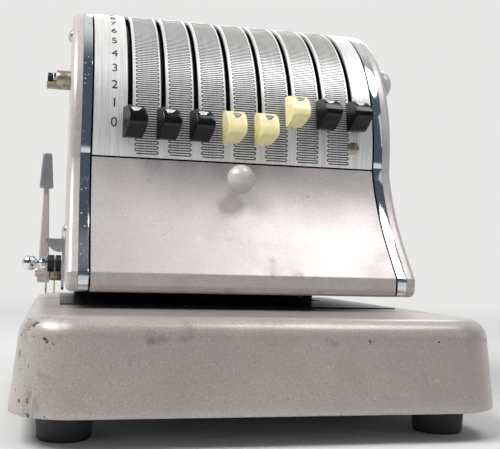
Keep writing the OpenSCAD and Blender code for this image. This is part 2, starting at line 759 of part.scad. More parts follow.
module handle_arm() {
    hub = main_shaft_d / 2 + 5;
    color(steel) at_handle() difference() {
        union() {
            rod(handle_x, handle_x + arm_t, hub);
            slab(handle_x, arm_t) polygon([[0, -hub + 1], [0, hub - 1],
                [-handle_len + grip_l / 2, 6], [-handle_len + grip_l / 2, -6]]);
            translate([handle_x, tang_y, -5]) cube([tang_x1 - handle_x, 5, 10]);
            translate([tang_x0, tang_y - 9, -3.5]) cube([tang_x1 - tang_x0, 10, 7]);
        }
        rod(handle_x - 1, handle_x + arm_t + 1, main_shaft_d / 2);
    }
}
module handle_grip() {
    // Length along the grip, and half its thickness and half its width there
    stations = concat(
        [[0, 0.56, 0.66], [1, 0.62, 0.72], [0.3 * grip_l, 0.62, 0.76], [0.5 * grip_l, 0.7, 0.86],
            [0.66 * grip_l, 0.9, 0.97]],
        [for (a = [0:15:75]) [grip_l - grip_t * 0.6 * (1 - sin(a)), cos(a) * 0.98 + 0.02, cos(a) * 0.98 + 0.02]],
        [[grip_l, 0.12, 0.12]]);
    color(pearl) at_handle() translate([grip_x, tang_y, 0]) rotate([90, 0, 0]) difference() {
        skin([for (s = stations) [for (a = [0:10:350])
            [s[1] * grip_t / 2 * cos(a), s[2] * grip_w / 2 * sin(a), s[0]]]]);
        translate([tang_x0 - grip_x - fit, -3.5 - fit, -1])
            cube([tang_x1 - tang_x0 + 2 * fit, 7 + 2 * fit, 9 + 1 + fit]);
    }
}

// ---- Side controls on the left ----
module at_side(p) { at_head() translate([0, p[0], p[1]]) children(); }
outer_x = head_w / 2;
stop_x = outer_x + 9.4;
module guide_rod() {
    color(steel) at_side(guide_at) mirror([1, 0, 0]) {
        rod(frame_in + frame_t, guide_end - ball_d, guide_rod_d / 2);
        rod(stop_x + 1.1, stop_x + 3.7, 3.9);
        translate([guide_end - ball_d / 2, 0, 0]) sphere(r = ball_d / 2);
        rod(stop_x + 3, guide_end - ball_d / 2, guide_rod_d / 2 - 0.3);
    }
}
module check_stop() {
    color(steel) at_side(guide_at) mirror([1, 0, 0]) difference() {
        slab(stop_x, 1) polygon(concat(
            arc([0, 0], 5.5, 0, 180, 16), [[-5.5, -stop_h + 7.5]],
            [[-3.5, -stop_h + 5.5]], [[9, -stop_h + 5.5]], [[10.5, -stop_h + 7]], [[10.5, -6]]));
        rod(stop_x - 1, stop_x + 3, guide_rod_d / 2 + fit);
    }
}
module guide_leaf() {
    leaf_x = outer_x + 5;
    color(brass) at_side(guide_at) mirror([1, 0, 0]) {
        difference() {
            slab(leaf_x, 0.6) polygon([[-4, -17], [4, -17], [4, 4], [-4, 4]]);
            rod(leaf_x - 1, leaf_x + 3, guide_rod_d / 2 + fit);
        }
        for (x = [[outer_x + 1.9, leaf_x - 0.1], [leaf_x + 0.7, stop_x - 0.1]]) difference() {
            rod(x[0], x[1], 5.6);
            rod(x[0] - 1, x[1] + 1, guide_rod_d / 2 + fit);
        }
    }
}
module guide_bracket() {
    color(steel) mirror([1, 0, 0]) {
        at_side(guide_at) difference() {
            slab(outer_x, 1.6) polygon([[-5, -15], [5, -15], [5, 18], [-5, 18]]);
            rod(outer_x - 1, outer_x + 3, guide_rod_d / 2 + 0.2);
        }
        at_side(guide_at + [-1, 13]) rotate([90, 0, 0]) translate([0, 0, -2]) linear_extrude(4)
            polygon([[outer_x + 1.6, -6], [outer_x + 2.6, -6.6], [outer_x + 7, -2], [outer_x + 10.8, 0],
                [outer_x + 11, 1.4], [outer_x + 1.6, 1.4]]);
    }
}
lever_x0 = outer_x + 8.6;
module side_lever() {
    hub = 6.4;
    paddle_z = 51.6;
    color(paint) at_side(side_lever_at) mirror([1, 0, 0]) {
        difference() {
            union() {
                rod(lever_x0, lever_x0 + 7, hub);
                skin([for (s = [[0, 7, hub - 1], [paddle_z + 3, 3, 2.4]])
                    [for (c = [[-1, -1], [1, -1], [1, 1], [-1, 1]])
                        [lever_x0 + 3.5 + c[0] * s[1] / 2, c[1] * s[2], s[0]]]]);
            }
            rod(lever_x0 - 1, lever_x0 + 8, 3 + fit);
        }
        skin([for (s = [[paddle_z, paddle_w, 6], [paddle_z + paddle_h, 5.3, 4]])
            [for (c = [[-1, -1], [1, -1], [1, 1], [-1, 1]])
                [lever_x0 + 3.5 + c[0] * s[1] / 2, c[1] * s[2], s[0]]]]);
    }
}
module side_stud() {
    color(brass) {
        at_side(side_lever_at) mirror([1, 0, 0]) {
            rod(frame_in + frame_t, lever_x0 + 8.4, 3);
            rod(outer_x, lever_x0 - 0.2, 5);
        }
        at_side(stud_at) mirror([1, 0, 0]) {
            rod(frame_in + frame_t, outer_x + 12, 3);
            rod(outer_x, outer_x + 8.6, 6);
            rod(outer_x + 8.4, outer_x + 10.6, 4.6);
            rod(outer_x + 11, outer_x + 14, 4.2);
            intersection() {
                difference() {
                    rod(outer_x + 8, outer_x + 14.4, 6);
                    rod(outer_x + 7, outer_x + 15, 4.9);
                }
                translate([outer_x, -7, -7]) cube([16, 14, 5]);
            }
        }
    }
}

base_shell();
bottom_plate();
bed_plate();
rubber_feet();
foot_screws();
platen_guides();
rear_column();
column_screws();
side_frame_left();
side_frame_right();
head_floor();
cheek_left();
cheek_right();
trim_band_left();
trim_band_right();
face_plate();
window_lenses();
face_screw();
top_cover();
cheek_screws();
lever_shaft();
lever_spacers();
detent_bar();
detent_plungers();
shaft_bushings();
return_spring();
roller_shaft();
ink_roller();
cover_pins();
front_cover();
knob_stem();
cover_knob();
for (k = [0:LEVERS - 1]) {
    type_lever(k);
    key(k);
}
platen_yoke();
pull_rods();
platen_pad();
main_shaft();
handle_arm();
handle_grip();
guide_rod();
check_stop();
guide_leaf();
guide_bracket();
side_lever();
side_stud();
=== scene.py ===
import math

import bmesh
import bpy
import numpy as np
from mathutils import Matrix, Vector, geometry


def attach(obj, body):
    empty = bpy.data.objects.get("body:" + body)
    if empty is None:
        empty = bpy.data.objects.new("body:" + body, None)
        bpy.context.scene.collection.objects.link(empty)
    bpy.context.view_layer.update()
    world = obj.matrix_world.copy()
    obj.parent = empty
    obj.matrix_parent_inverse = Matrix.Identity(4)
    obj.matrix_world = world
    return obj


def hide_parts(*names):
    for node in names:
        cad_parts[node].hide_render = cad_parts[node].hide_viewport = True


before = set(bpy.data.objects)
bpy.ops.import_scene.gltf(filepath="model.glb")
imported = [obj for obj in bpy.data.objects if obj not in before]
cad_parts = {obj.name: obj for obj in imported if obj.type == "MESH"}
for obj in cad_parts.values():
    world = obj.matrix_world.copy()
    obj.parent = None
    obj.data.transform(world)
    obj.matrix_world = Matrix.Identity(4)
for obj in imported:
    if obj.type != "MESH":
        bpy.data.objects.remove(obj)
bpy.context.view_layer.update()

MM = 0.001                       # every shape below is worked out in millimetres

# ---- Sizes of the check writer, as in the part's source ----
BASE_W, BASE_D, BASE_H = 220.0, 261.0, 40.5
BASE_WALL, BASE_CORNER_R, BASE_EDGE_R, BASE_LEAN = 3.0, 27.0, 9.5, 3.2
FOOT_H, FOOT_D, FOOT_X, FOOT_Y = 13.0, 25.0, 86.5, 100.0
BASE_TOP = FOOT_H + BASE_H
HEAD_W, CHEEK_T, BAND_W = 176.0, 5.6, 5.0
COVER_T, COVER_H = 2.0, 68.7
FACE_Y, EDGE_Z = -35.5, 130.0    # lower edge of the face plate
FACE_R, EDGE_DROP, PLATE_T, PLATE_TOP_A = 84.4, 10.3, 1.5, 84.0
LEVER_Y, LEVER_Z = FACE_Y + FACE_R, EDGE_Z + EDGE_DROP
HEAD_LEN, TOP_Z, BACK_R, FOOT_ROUND = 158.0, FACE_R + EDGE_DROP, 34.0, 8.0
EDGE_IN = FACE_R - math.sqrt(FACE_R ** 2 - EDGE_DROP ** 2)
EDGE_A = math.degrees(math.asin(EDGE_DROP / FACE_R))
CHIN_Y, CHIN_Z, CHIN_R = -29.1, -61.0, 7.7
OUTER_X, FRAME_X = HEAD_W / 2, 80.4    # outer faces of the cheeks and of the frame inside them
BAND_OUT = OUTER_X - CHEEK_T
PLATE_HALF = BAND_OUT - BAND_W
PANEL_HALF = PLATE_HALF - 0.9    # a dark gap shows between a panel and its trim band
SLOT_W, SLOT_LOW_A, SLOT_TOP_A = 2.7, 7.1, 76.5
PITCH = 17.5
SLOT_X = -57.8 + PITCH * np.arange(8)
WINDOW_W, WINDOW_OFF, WINDOW_MID_A, WINDOW_HALF_A = 10.8, -7.5, 80.55, 2.2
KEY_STEP, KEY_LOW_A, KEY_H, KEY_OUT = 7.2, 5.3, 17.0, 10.0
KEY_LEFT, KEY_RIGHT, KEY_FOOT = -3.9, 4.3, FACE_R + 1.4
REST_STEP = [0, 0, 0, 0, 0, 1, 1, 1]
INDICATOR_R = FACE_R - PLATE_T - 3.4
MAIN_Y, MAIN_Z = LEVER_Y + 39, LEVER_Z - 2.3
HANDLE_X, ARM_T, HANDLE_LEN, HANDLE_RISE, GRIP_L, GRIP_T, GRIP_W = 90.2, 5.0, 88.4, 30.0, 34.0, 10.4, 17.0
GRIP_X = HANDLE_X + ARM_T / 2 + 3.8
TANG_Y = -HANDLE_LEN + GRIP_L / 2
GUIDE_Y, GUIDE_Z, GUIDE_R, BALL_R = FACE_Y + 62, EDGE_Z - 56.4, 2.3, 4.5
STOP_X = OUTER_X + 9.4
PADDLE_Y, PADDLE_Z = FACE_Y + 92, EDGE_Z - 62
STUD_Y, STUD_Z = FACE_Y + 100, EDGE_Z + 58.8
SCREWS = np.array([[77, 81], [42, -38], [132, -40]]) + [FACE_Y, EDGE_Z]


# ---- Paths, as arrays of points in a plane ----
def line(a, b, n=2):
    """Points from a to b: a plus t times b less a."""
    t = np.linspace(0, 1, n)[:, None]
    return np.array(a, float) * (1 - t) + np.array(b, float) * t


def arc(centre, r, a0, a1, n):
    """Points on a circle: the centre plus r times the cosine and sine of the angle, in degrees."""
    a = np.radians(np.linspace(a0, a1, n))
    return np.array(centre, float) + r * np.stack([np.cos(a), np.sin(a)], 1)


def bore_loop(centre, r, n=32):
    """The outline of a round hole: n points over 350 degrees, closed by a last short side."""
    return arc(centre, r, 0, 350, n)


def bezier(p0, p1, p2, p3, n):
    """Cubic Bezier curve: its four points weighted by the Bernstein terms in t."""
    t = np.linspace(0, 1, n)[:, None]
    p0, p1, p2, p3 = (np.array(p, float) for p in (p0, p1, p2, p3))
    return (1 - t) ** 3 * p0 + 3 * (1 - t) ** 2 * t * p1 + 3 * (1 - t) * t ** 2 * p2 + t ** 3 * p3


def chain(*paths):
    """The paths end to end, without the points that repeat the one before."""
    p = np.concatenate(paths)
    far = np.linalg.norm(np.diff(p, axis=0), axis=1) > 1e-4
    return p[np.concatenate([[True], far])]


def shifted(path, d, closed=False):
    """Each point moved by d to the left of the chord between its neighbours."""
    if closed:
        t = np.roll(path, -1, 0) - np.roll(path, 1, 0)
    else:
        t = np.gradient(path, axis=0)
    t = t / np.linalg.norm(t, axis=1)[:, None]
    return path + d * np.stack([-t[:, 1], t[:, 0]], 1)


def strip(path, d):
    """Outline of a band of width d on the left of a path."""
    return np.concatenate([path, shifted(path, d)[::-1]])


def rounded_rect(hx, hy, r, n):
    """Rectangle of half sizes hx and hy with corners of radius r, n points to a corner."""
    corners = [arc((sx * (hx - r), sy * (hy - r)), r, a, a + 90, n)
               for sx, sy, a in ((1, 1, 0), (-1, 1, 90), (-1, -1, 180), (1, -1, 270))]
    return np.concatenate(corners)


# ---- Forms: an array of points and a list of faces ----
def grid_quads(rows, cols, close_rows=False, close_cols=False):
    """Quads of a grid whose points are numbered row by row."""
    i, j = np.meshgrid(np.arange(rows - (not close_rows)), np.arange(cols - (not close_cols)), indexing="ij")
    up, right = (i + 1) % rows, (j + 1) % cols
    return np.stack([i * cols + j, i * cols + right, up * cols + right, up * cols + j], -1).reshape(-1, 4)


def joined(*forms):
    """Several forms as one: the face numbers of each move up by the points before it."""
    points, faces, start = [], [], 0
    for p, f in forms:
        points.append(np.asarray(p, float))
        faces += [[int(k) + start for k in face] for face in f]
        start += len(p)
    return np.concatenate(points), faces


def skin(rings, ends=True, loop=False):
    """A surface through rings of equally many points, with a face on each end."""
    rings = np.asarray(rings, float)
    m, n = rings.shape[:2]
    faces = grid_quads(m, n, close_rows=loop, close_cols=True).tolist()
    if ends and not loop:
        faces += [list(range(n)), list(range((m - 1) * n, m * n))]
    return rings.reshape(-1, 3), faces


def at_x(x, path):
    """A path of Y and Z stood at one x."""
    return np.column_stack([np.full(len(path), x), path])


def across(xs, paths):
    """Rings that stand at each x, with the matching path as their Y and Z."""
    return np.stack([at_x(x, p) for x, p in zip(xs, paths)])


def prism(outline, x0, x1):
    """An outline in Y and Z carried along X."""
    return skin(across([x0, x1], [outline, outline]))


def filled(loops):
    """Triangles between the first loop and the loops inside it."""
    flat = [[Vector((*p, 0.0)) for p in loop] for loop in loops]
    return geometry.tessellate_polygon(flat)


def plate(outline, x0, x1, holes=()):
    """A flat sheet across X with holes: walls round each loop, and two filled sides."""
    loops = [outline, *holes]
    walls = [skin(across([x0, x1], [p, p]), ends=False) for p in loops]
    sides = [(at_x(x, np.concatenate(loops)), filled(loops)) for x in (x0, x1)]
    return joined(*walls, *sides)


def turned(profile, n=48, closed=False):
    """A profile of radius and height swept round the Z axis: x and y are the radius times the cosine and sine."""
    a = 2 * np.pi * np.arange(n) / n
    r, h = np.asarray(profile, float).T[:, :, None]
    rings = np.stack([r * np.cos(a), r * np.sin(a), h + 0 * a], -1)
    return skin(rings, ends=False, loop=closed)


def placed(form, turn=(0, 0, 0), at=(0, 0, 0)):
    """The form turned about X, Y and Z in that order, in degrees, and moved."""
    m = np.eye(3)
    for axis, angle in zip("XYZ", turn):
        m = np.array(Matrix.Rotation(math.radians(angle), 3, axis)) @ m
    return form[0] @ m.T + np.array(at, float), form[1]


def on_face(form, radius=FACE_R):
    """A flat form of x, height and depth bent round the lever shaft: the angle is the height over the radius."""
    x, s, out = form[0].T
    a = s / radius
    return np.stack([x, LEVER_Y - (radius + out) * np.cos(a), LEVER_Z + (radius + out) * np.sin(a)], 1), form[1]


def rod(x0, x1, r, y, z, n=32, soft=0.4):
    """A round rod along X with softened ends."""
    length = abs(x1 - x0)
    profile = [(0, 0), (r - soft, 0), (r - soft * 0.3, soft * 0.3), (r, soft),
               (r, length - soft), (r - soft * 0.3, length - soft * 0.3), (r - soft, length), (0, length)]
    return placed(turned(profile, n), (0, 90 if x1 > x0 else -90, 0), (x0, y, z))


def between_grids(top, low):
    """A closed form from two grids of one size: both surfaces, and walls round their borders."""
    rows, cols = top.shape[:2]
    faces, total = grid_quads(rows, cols), rows * cols
    rim = np.concatenate([np.arange(cols), np.arange(1, rows) * cols + cols - 1,
                          (rows - 1) * cols + np.arange(cols - 2, -1, -1), np.arange(rows - 2, 0, -1) * cols])
    after = np.roll(rim, -1)
    walls = np.stack([rim, rim + total, after + total, after], 1)
    points = np.concatenate([top.reshape(-1, 3), low.reshape(-1, 3)])
    return points, np.concatenate([faces, faces[:, ::-1] + total, walls]).tolist()


def slotted_head(r, height, slot_w, slot_d, n=15):
    """A domed screw head as chords of a disc: the height falls as a sphere's does, and is lower in the slot."""
    half = slot_w / 2
    side = np.linspace(half, r * 0.998, n)
    y = np.concatenate([-side[::-1], [-half, 0, half], side])
    sunk = np.concatenate([np.zeros(n), [1, 1, 1], np.zeros(n)])
    t = np.linspace(-1, 1, 2 * n + 1)
    x = np.sqrt(np.maximum(r * r - y * y, 0))[:, None] * np.sin(t * np.pi / 2)
    ball = (r * r + height * height) / (2 * height)
    dome = np.sqrt(np.maximum(ball ** 2 - x ** 2 - y[:, None] ** 2, 0)) - (ball - height)
    dome = np.maximum(dome, 0) + 0.25
    z = np.where(sunk[:, None] > 0, np.minimum(dome, height - slot_d), dome)
    top = np.stack([x, y[:, None] + 0 * x, z], -1)
    return between_grids(top, top * [1, 1, 0] - [0, 0, 0.2])


def screw(r, height, slot_w, slot_d, depth):
    """A slotted head on a thin shank of that depth."""
    shank = turned([(0, -depth), (1.5, -depth), (1.5, 0), (0, 0)], 16)
    return joined(slotted_head(r, height, slot_w, slot_d), shank)


# ---- Meshes and pieces ----
def set_normals_out(mesh, heart=None):
    """Merges doubled points and points the faces outwards, or away from a point inside an open sheet."""
    bm = bmesh.new()
    bm.from_mesh(mesh)
    bmesh.ops.remove_doubles(bm, verts=bm.verts, dist=1e-7)
    bmesh.ops.dissolve_degenerate(bm, edges=bm.edges, dist=1e-8)
    bmesh.ops.recalc_face_normals(bm, faces=bm.faces)
    if heart is not None:
        middle = Vector(heart) * MM
        if sum(f.calc_area() * f.normal.dot(f.calc_center_median() - middle) for f in bm.faces) < 0:
            bmesh.ops.reverse_faces(bm, faces=bm.faces)
    bm.to_mesh(mesh)
    bm.free()


def bake_modifiers(obj):
    """Keeps the shape that the modifiers give as the piece's own mesh."""
    done = bpy.data.meshes.new_from_object(obj.evaluated_get(bpy.context.evaluated_depsgraph_get()))
    obj.modifiers.clear()
    obj.data = done
    done.name = obj.name


def piece(name, form, body, material, stands_for=(), bevel=0.0, wall=0.0, heart=None, sharp=35, edge=None):
    """A finished piece: the form in metres, its wall and edges, its material and its body, with the CAD node it stands
    for hidden.
    """
    points, faces = form
    mesh = bpy.data.meshes.new(name)
    mesh.from_pydata((np.asarray(points) * MM).tolist(), [], [list(map(int, f)) for f in faces])
    set_normals_out(mesh, heart)
    obj = bpy.data.objects.new(name, mesh)
    bpy.context.scene.collection.objects.link(obj)
    mesh.shade_smooth()
    if wall:
        m = obj.modifiers.new("wall", "SOLIDIFY")
        m.thickness, m.offset, m.use_even_offset = wall * MM, -1, True
    if bevel:
        m = obj.modifiers.new("edges", "BEVEL")
        m.width, m.segments, m.limit_method, m.angle_limit = bevel * MM, 2, "ANGLE", math.radians(38)
        m.use_clamp_overlap = True
        m = obj.modifiers.new("flat_sides", "WEIGHTED_NORMAL")
        m.keep_sharp = False
    if wall or bevel:
        bake_modifiers(obj)
    if not bevel:
        obj.data.set_sharp_from_angle(angle=math.radians(sharp))
    if edge is not None:
        co = np.empty(len(obj.data.vertices) * 3, np.float32)
        obj.data.vertices.foreach_get("co", co)
        value = np.clip(edge(co.reshape(-1, 3) / MM), 0, 1).astype(np.float32)
        obj.data.attributes.new("edge", "FLOAT", "POINT").data.foreach_set("value", value)
    obj.data.materials.clear()
    obj.data.materials.append(material)
    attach(obj, body)
    if stands_for:
        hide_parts(*([stands_for] if isinstance(stands_for, str) else stands_for))
    return obj


# ---- Node trees ----
def srgb(r, g, b):
    """An 8-bit colour as linear values, by the sRGB curve."""
    c = np.array([r, g, b]) / 255
    return (*np.where(c <= 0.04045, c / 12.92, ((c + 0.055) / 1.055) ** 2.4).tolist(), 1.0)


class Nodes:
    """Adds nodes to one tree. A value given to a socket is linked if it is a socket itself, and set if not."""

    def __init__(self, tree):
        self.tree = tree

    def feed(self, socket, value):
        if isinstance(value, bpy.types.NodeSocket):
            self.tree.links.new(value, socket)
        else:
            socket.default_value = value

    def add(self, kind, inputs=None, **settings):
        n = self.tree.nodes.new(kind)
        for key, value in settings.items():
            setattr(n, key, value)
        for key, value in (inputs or {}).items():
            self.feed(n.inputs[key], value)
        return n

    def calc(self, operation, *values, clamp=False):
        n = self.add("ShaderNodeMath", operation=operation, use_clamp=clamp)
        for socket, value in zip(n.inputs, values):
            self.feed(socket, value)
        return n.outputs[0]

    def noise(self, vector, scale, detail=2.0, roughness=0.5, distortion=0.0):
        return self.add("ShaderNodeTexNoise", {"Vector": vector, "Scale": scale, "Detail": detail,
                                               "Roughness": roughness, "Distortion": distortion}).outputs["Fac"]

    def stretch(self, vector, scale):
        return self.add("ShaderNodeVectorMath", {0: vector, 1: scale}, operation="MULTIPLY").outputs[0]

    def mix(self, factor, a, b, how="MIX"):
        n = self.add("ShaderNodeMix", data_type="RGBA", blend_type=how)
        for index, value in ((0, factor), (6, a), (7, b)):
            self.feed(n.inputs[index], value)
        return n.outputs[2]

    def grey(self, value):
        return self.add("ShaderNodeCombineColor", {0: value, 1: value, 2: value}).outputs[0]

    def between(self, value, low, high, out_low=0.0, out_high=1.0):
        return self.add("ShaderNodeMapRange", {"Value": value, "From Min": low, "From Max": high, "To Min": out_low,
                                               "To Max": out_high}, interpolation_type="SMOOTHSTEP").outputs[0]

    def use(self, group, **inputs):
        n = self.add("ShaderNodeGroup", node_tree=group)
        for key, value in inputs.items():
            self.feed(n.inputs[key.replace("_", " ")], value)
        return n.outputs


def effect(name, inputs, outputs, work):
    """A shader node group with named sockets, filled by work(nodes, inputs), which returns its outputs."""
    tree = bpy.data.node_groups.new(name, "ShaderNodeTree")
    for label, kind, value in inputs:
        socket = tree.interface.new_socket(name=label, in_out="INPUT", socket_type="NodeSocket" + kind)
        if value is not None:
            socket.default_value = value
    for label, kind in outputs:
        tree.interface.new_socket(name=label, in_out="OUTPUT", socket_type="NodeSocket" + kind)
    n = Nodes(tree)
    given, result = n.add("NodeGroupInput"), n.add("NodeGroupOutput")
    for label, value in work(n, given.outputs).items():
        n.feed(result.inputs[label], value)
    return tree


def fleck_work(n, given):
    """Fine light and dark flecks over a slow mottle, and the paint's orange peel as a height."""
    vector = given["Vector"]
    fine = n.noise(vector, given["Scale"], 1.5, 0.6)
    light = n.calc("MULTIPLY", n.between(fine, 0.53, 0.72), given["Amount"])
    dark = n.calc("MULTIPLY", n.between(fine, 0.46, 0.30), given["Amount"])
    colour = n.mix(dark, n.mix(light, given["Colour"], given["Light"]), given["Dark"])
    slow = n.between(n.noise(vector, 28.0, 3.0, 0.6), 0.3, 0.7, -1.0, 1.0)
    level = n.calc("MULTIPLY_ADD", slow, given["Mottle"], 1.0)
    colour = n.mix(1.0, colour, n.grey(level), "MULTIPLY")
    return {"Colour": colour, "Height": n.noise(vector, 620.0, 1.0), "Mask": fine}


def wear_work(n, given):
    """Chips are where a rough noise plus the edge value passes a limit; scuffs pass a lower one."""
    rough = n.noise(given["Vector"], given["Scale"], 6.0, 0.68)
    level = n.calc("MULTIPLY_ADD", given["Edge"], given["Amount"], rough)
    blot = n.noise(given["Vector"], n.calc("MULTIPLY", given["Scale"], 0.23), 5.0, 0.6, 0.4)
    scuff = n.calc("MULTIPLY_ADD", given["Edge"], n.calc("MULTIPLY", given["Amount"], 0.8), blot)
    return {"Chips": n.between(level, 0.78, 0.81), "Scuffs": n.between(scuff, 0.64, 0.82)}


def scratch_work(n, given):
    """Hairlines are where a slow noise crosses its middle, kept only in patches."""
    swirl = n.noise(n.stretch(given["Vector"], given["Stretch"]), given["Scale"], 2.0, 0.5, 0.6)
    hair = n.between(n.calc("ABSOLUTE", n.calc("SUBTRACT", swirl, 0.5)), given["Width"], 0.0)
    patch = n.between(n.noise(given["Vector"], n.calc("MULTIPLY", given["Scale"], 0.8), 2.0), 0.5, 0.62)
    return {"Mask": n.calc("MULTIPLY", hair, patch)}


def grain_work(n, given):
    """Brushing: a noise stretched along the stroke, in a coarse and a fine layer."""
    vector = n.stretch(given["Vector"], given["Stretch"])
    coarse, fine = n.noise(vector, 1.0, 3.0, 0.6), n.noise(vector, 3.7, 2.0, 0.6)
    both = n.calc("MULTIPLY_ADD", fine, 0.55, n.calc("MULTIPLY", coarse, 0.45))
    level = n.between(both, 0.34, 0.66, -1.0, 1.0)
    return {"Value": n.calc("MULTIPLY_ADD", level, given["Strength"], 1.0), "Height": both}


def pit_work(n, given):
    """Pits and specks: the cells of a Voronoi pattern whose distance is under a limit that varies by cell."""
    cells = n.add("ShaderNodeTexVoronoi", {"Vector": given["Vector"], "Scale": given["Scale"]})
    chance = n.add("ShaderNodeSeparateColor", {0: cells.outputs["Color"]}).outputs[0]
    limit = n.calc("MULTIPLY", n.between(chance, given["Share"], 1.0), given["Size"])
    return {"Mask": n.between(cells.outputs["Distance"], limit, n.calc("MULTIPLY", limit, 0.6))}


def film_work(n, given):
    """A thin uneven film of handling and dust: two slow noises multiplied."""
    a = n.between(n.noise(given["Vector"], given["Scale"], 4.0, 0.6, 0.5), 0.35, 0.7)
    b = n.between(n.noise(given["Vector"], n.calc("MULTIPLY", given["Scale"], 3.1), 3.0), 0.3, 0.75)
    return {"Mask": n.calc("MULTIPLY", a, b)}


VECTOR, FACTOR = ("Vector", "Vector", None), [("Mask", "Float")]
FLECK = effect("enamel_fleck", [VECTOR, ("Colour", "Color", (1, 1, 1, 1)), ("Light", "Color", (1, 1, 1, 1)),
               ("Dark", "Color", (0, 0, 0, 1)), ("Scale", "Float", 1400.0), ("Amount", "Float", 0.5),
               ("Mottle", "Float", 0.04)], [("Colour", "Color"), ("Height", "Float")] + FACTOR, fleck_work)
WEAR = effect("edge_wear", [VECTOR, ("Edge", "Float", 0.0), ("Amount", "Float", 0.3), ("Scale", "Float", 220.0)],
              [("Chips", "Float"), ("Scuffs", "Float")], wear_work)
SCRATCH = effect("hairline_scratches", [VECTOR, ("Stretch", "Vector", (1, 1, 1)), ("Scale", "Float", 24.0),
                 ("Width", "Float", 0.006)], FACTOR, scratch_work)
GRAIN = effect("brushed_grain", [VECTOR, ("Stretch", "Vector", (1, 1, 1)), ("Strength", "Float", 0.2)],
               [("Value", "Float"), ("Height", "Float")], grain_work)
PITS = effect("pits_and_specks", [VECTOR, ("Scale", "Float", 400.0), ("Size", "Float", 0.3), ("Share", "Float", 0.7)],
              FACTOR, pit_work)
FILM = effect("handling_film", [VECTOR, ("Scale", "Float", 30.0)], FACTOR, film_work)


class Finish(Nodes):
    """One material: a Principled shader and the object's own coordinates."""

    def __init__(self, name, **shader):
        self.material = bpy.data.materials.new(name)
        self.material.use_nodes = True
        super().__init__(self.material.node_tree)
        self.tree.nodes.clear()
        self.shader = self.add("ShaderNodeBsdfPrincipled")
        output = self.add("ShaderNodeOutputMaterial")
        self.feed(output.inputs["Surface"], self.shader.outputs[0])
        self.vector = self.add("ShaderNodeTexCoord").outputs["Object"]
        self.set(**shader)

    def set(self, **values):
        for key, value in values.items():
            self.feed(self.shader.inputs[key.replace("_", " ")], value)

    def bump(self, height, depth, strength=1.0, normal=None):
        n = self.add("ShaderNodeBump", {"Height": height, "Distance": depth, "Strength": strength})
        if normal is not None:
            self.feed(n.inputs["Normal"], normal)
        self.set(Normal=n.outputs[0])
        return n.outputs[0]


def enamel(name, colour, light, dark, chip, grime, edge_amount=0.26, metallic=0.3, rough=0.33, fleck=0.5):
    """Semi-gloss enamel with metal flecks, worn and scuffed where the piece's edge value is high."""
    f = Finish(name, Metallic=metallic, Coat_Weight=0.3, Coat_Roughness=0.22)
    spots = f.use(FLECK, Vector=f.vector, Colour=colour, Light=light, Dark=dark, Scale=1500.0, Amount=fleck,
                  Mottle=0.05)
    edge = f.add("ShaderNodeAttribute", attribute_name="edge").outputs["Fac"]
    worn = f.use(WEAR, Vector=f.vector, Edge=edge, Amount=edge_amount, Scale=260.0)
    film = f.use(FILM, Vector=f.vector, Scale=22.0)["Mask"]
    hair = f.use(SCRATCH, Vector=f.vector, Stretch=(0.7, 1.0, 1.3), Scale=30.0, Width=0.004)["Mask"]
    base = f.mix(f.calc("MULTIPLY", film, 0.10), spots["Colour"], grime)
    base = f.mix(f.calc("MULTIPLY", worn["Scuffs"], 0.5), base, grime)
    base = f.mix(f.calc("MULTIPLY", hair, 0.25), base, light)
    base = f.mix(worn["Chips"], base, chip)
    roughness = f.calc("MULTIPLY_ADD", film, 0.10, rough)
    roughness = f.calc("MULTIPLY_ADD", worn["Scuffs"], 0.18, roughness)
    f.set(Base_Color=base, Roughness=f.calc("MULTIPLY_ADD", worn["Chips"], 0.2, roughness))
    height = f.calc("MULTIPLY_ADD", worn["Chips"], -3.0, spots["Height"])
    f.bump(height, 0.00003, 0.7)
    return f.material


def polished(name, colour, rough, pit_share, pit_size=0.28, pit_scale=480.0, haze=0.08):
    """Bright plated metal with small dark pits, faint hairlines and a thin haze."""
    f = Finish(name, Metallic=1.0)
    pits = f.use(PITS, Vector=f.vector, Scale=pit_scale, Size=pit_size, Share=pit_share)["Mask"]
    hair = f.use(SCRATCH, Vector=f.vector, Scale=60.0, Width=0.006)["Mask"]
    film = f.use(FILM, Vector=f.vector, Scale=45.0)["Mask"]
    f.set(Base_Color=f.mix(f.calc("MULTIPLY", pits, 0.75), colour, srgb(52, 48, 44)))
    level = f.calc("MULTIPLY_ADD", film, haze, rough)
    level = f.calc("MULTIPLY_ADD", hair, 0.15, level)
    f.set(Roughness=f.calc("MULTIPLY_ADD", pits, 0.4, level))
    f.bump(f.calc("MULTIPLY", pits, -1.0), 0.00003)
    return f.material


def machined(name, colour, rough, stretch, strength=0.12, tarnish=srgb(70, 62, 52), tarnish_amount=0.25):
    """Bare metal with a tool's grain and patches of tarnish."""
    f = Finish(name, Metallic=1.0)
    grain = f.use(GRAIN, Vector=f.vector, Stretch=stretch, Strength=strength)
    film = f.use(FILM, Vector=f.vector, Scale=60.0)["Mask"]
    pits = f.use(PITS, Vector=f.vector, Scale=700.0, Size=0.3, Share=0.8)["Mask"]
    base = f.mix(1.0, colour, f.grey(grain["Value"]), "MULTIPLY")
    base = f.mix(f.calc("MULTIPLY", film, tarnish_amount), base, tarnish)
    f.set(Base_Color=f.mix(f.calc("MULTIPLY", pits, 0.5), base, tarnish))
    f.set(Roughness=f.calc("MULTIPLY_ADD", film, 0.18, rough))
    f.bump(grain["Height"], 0.00002, 0.6)
    return f.material


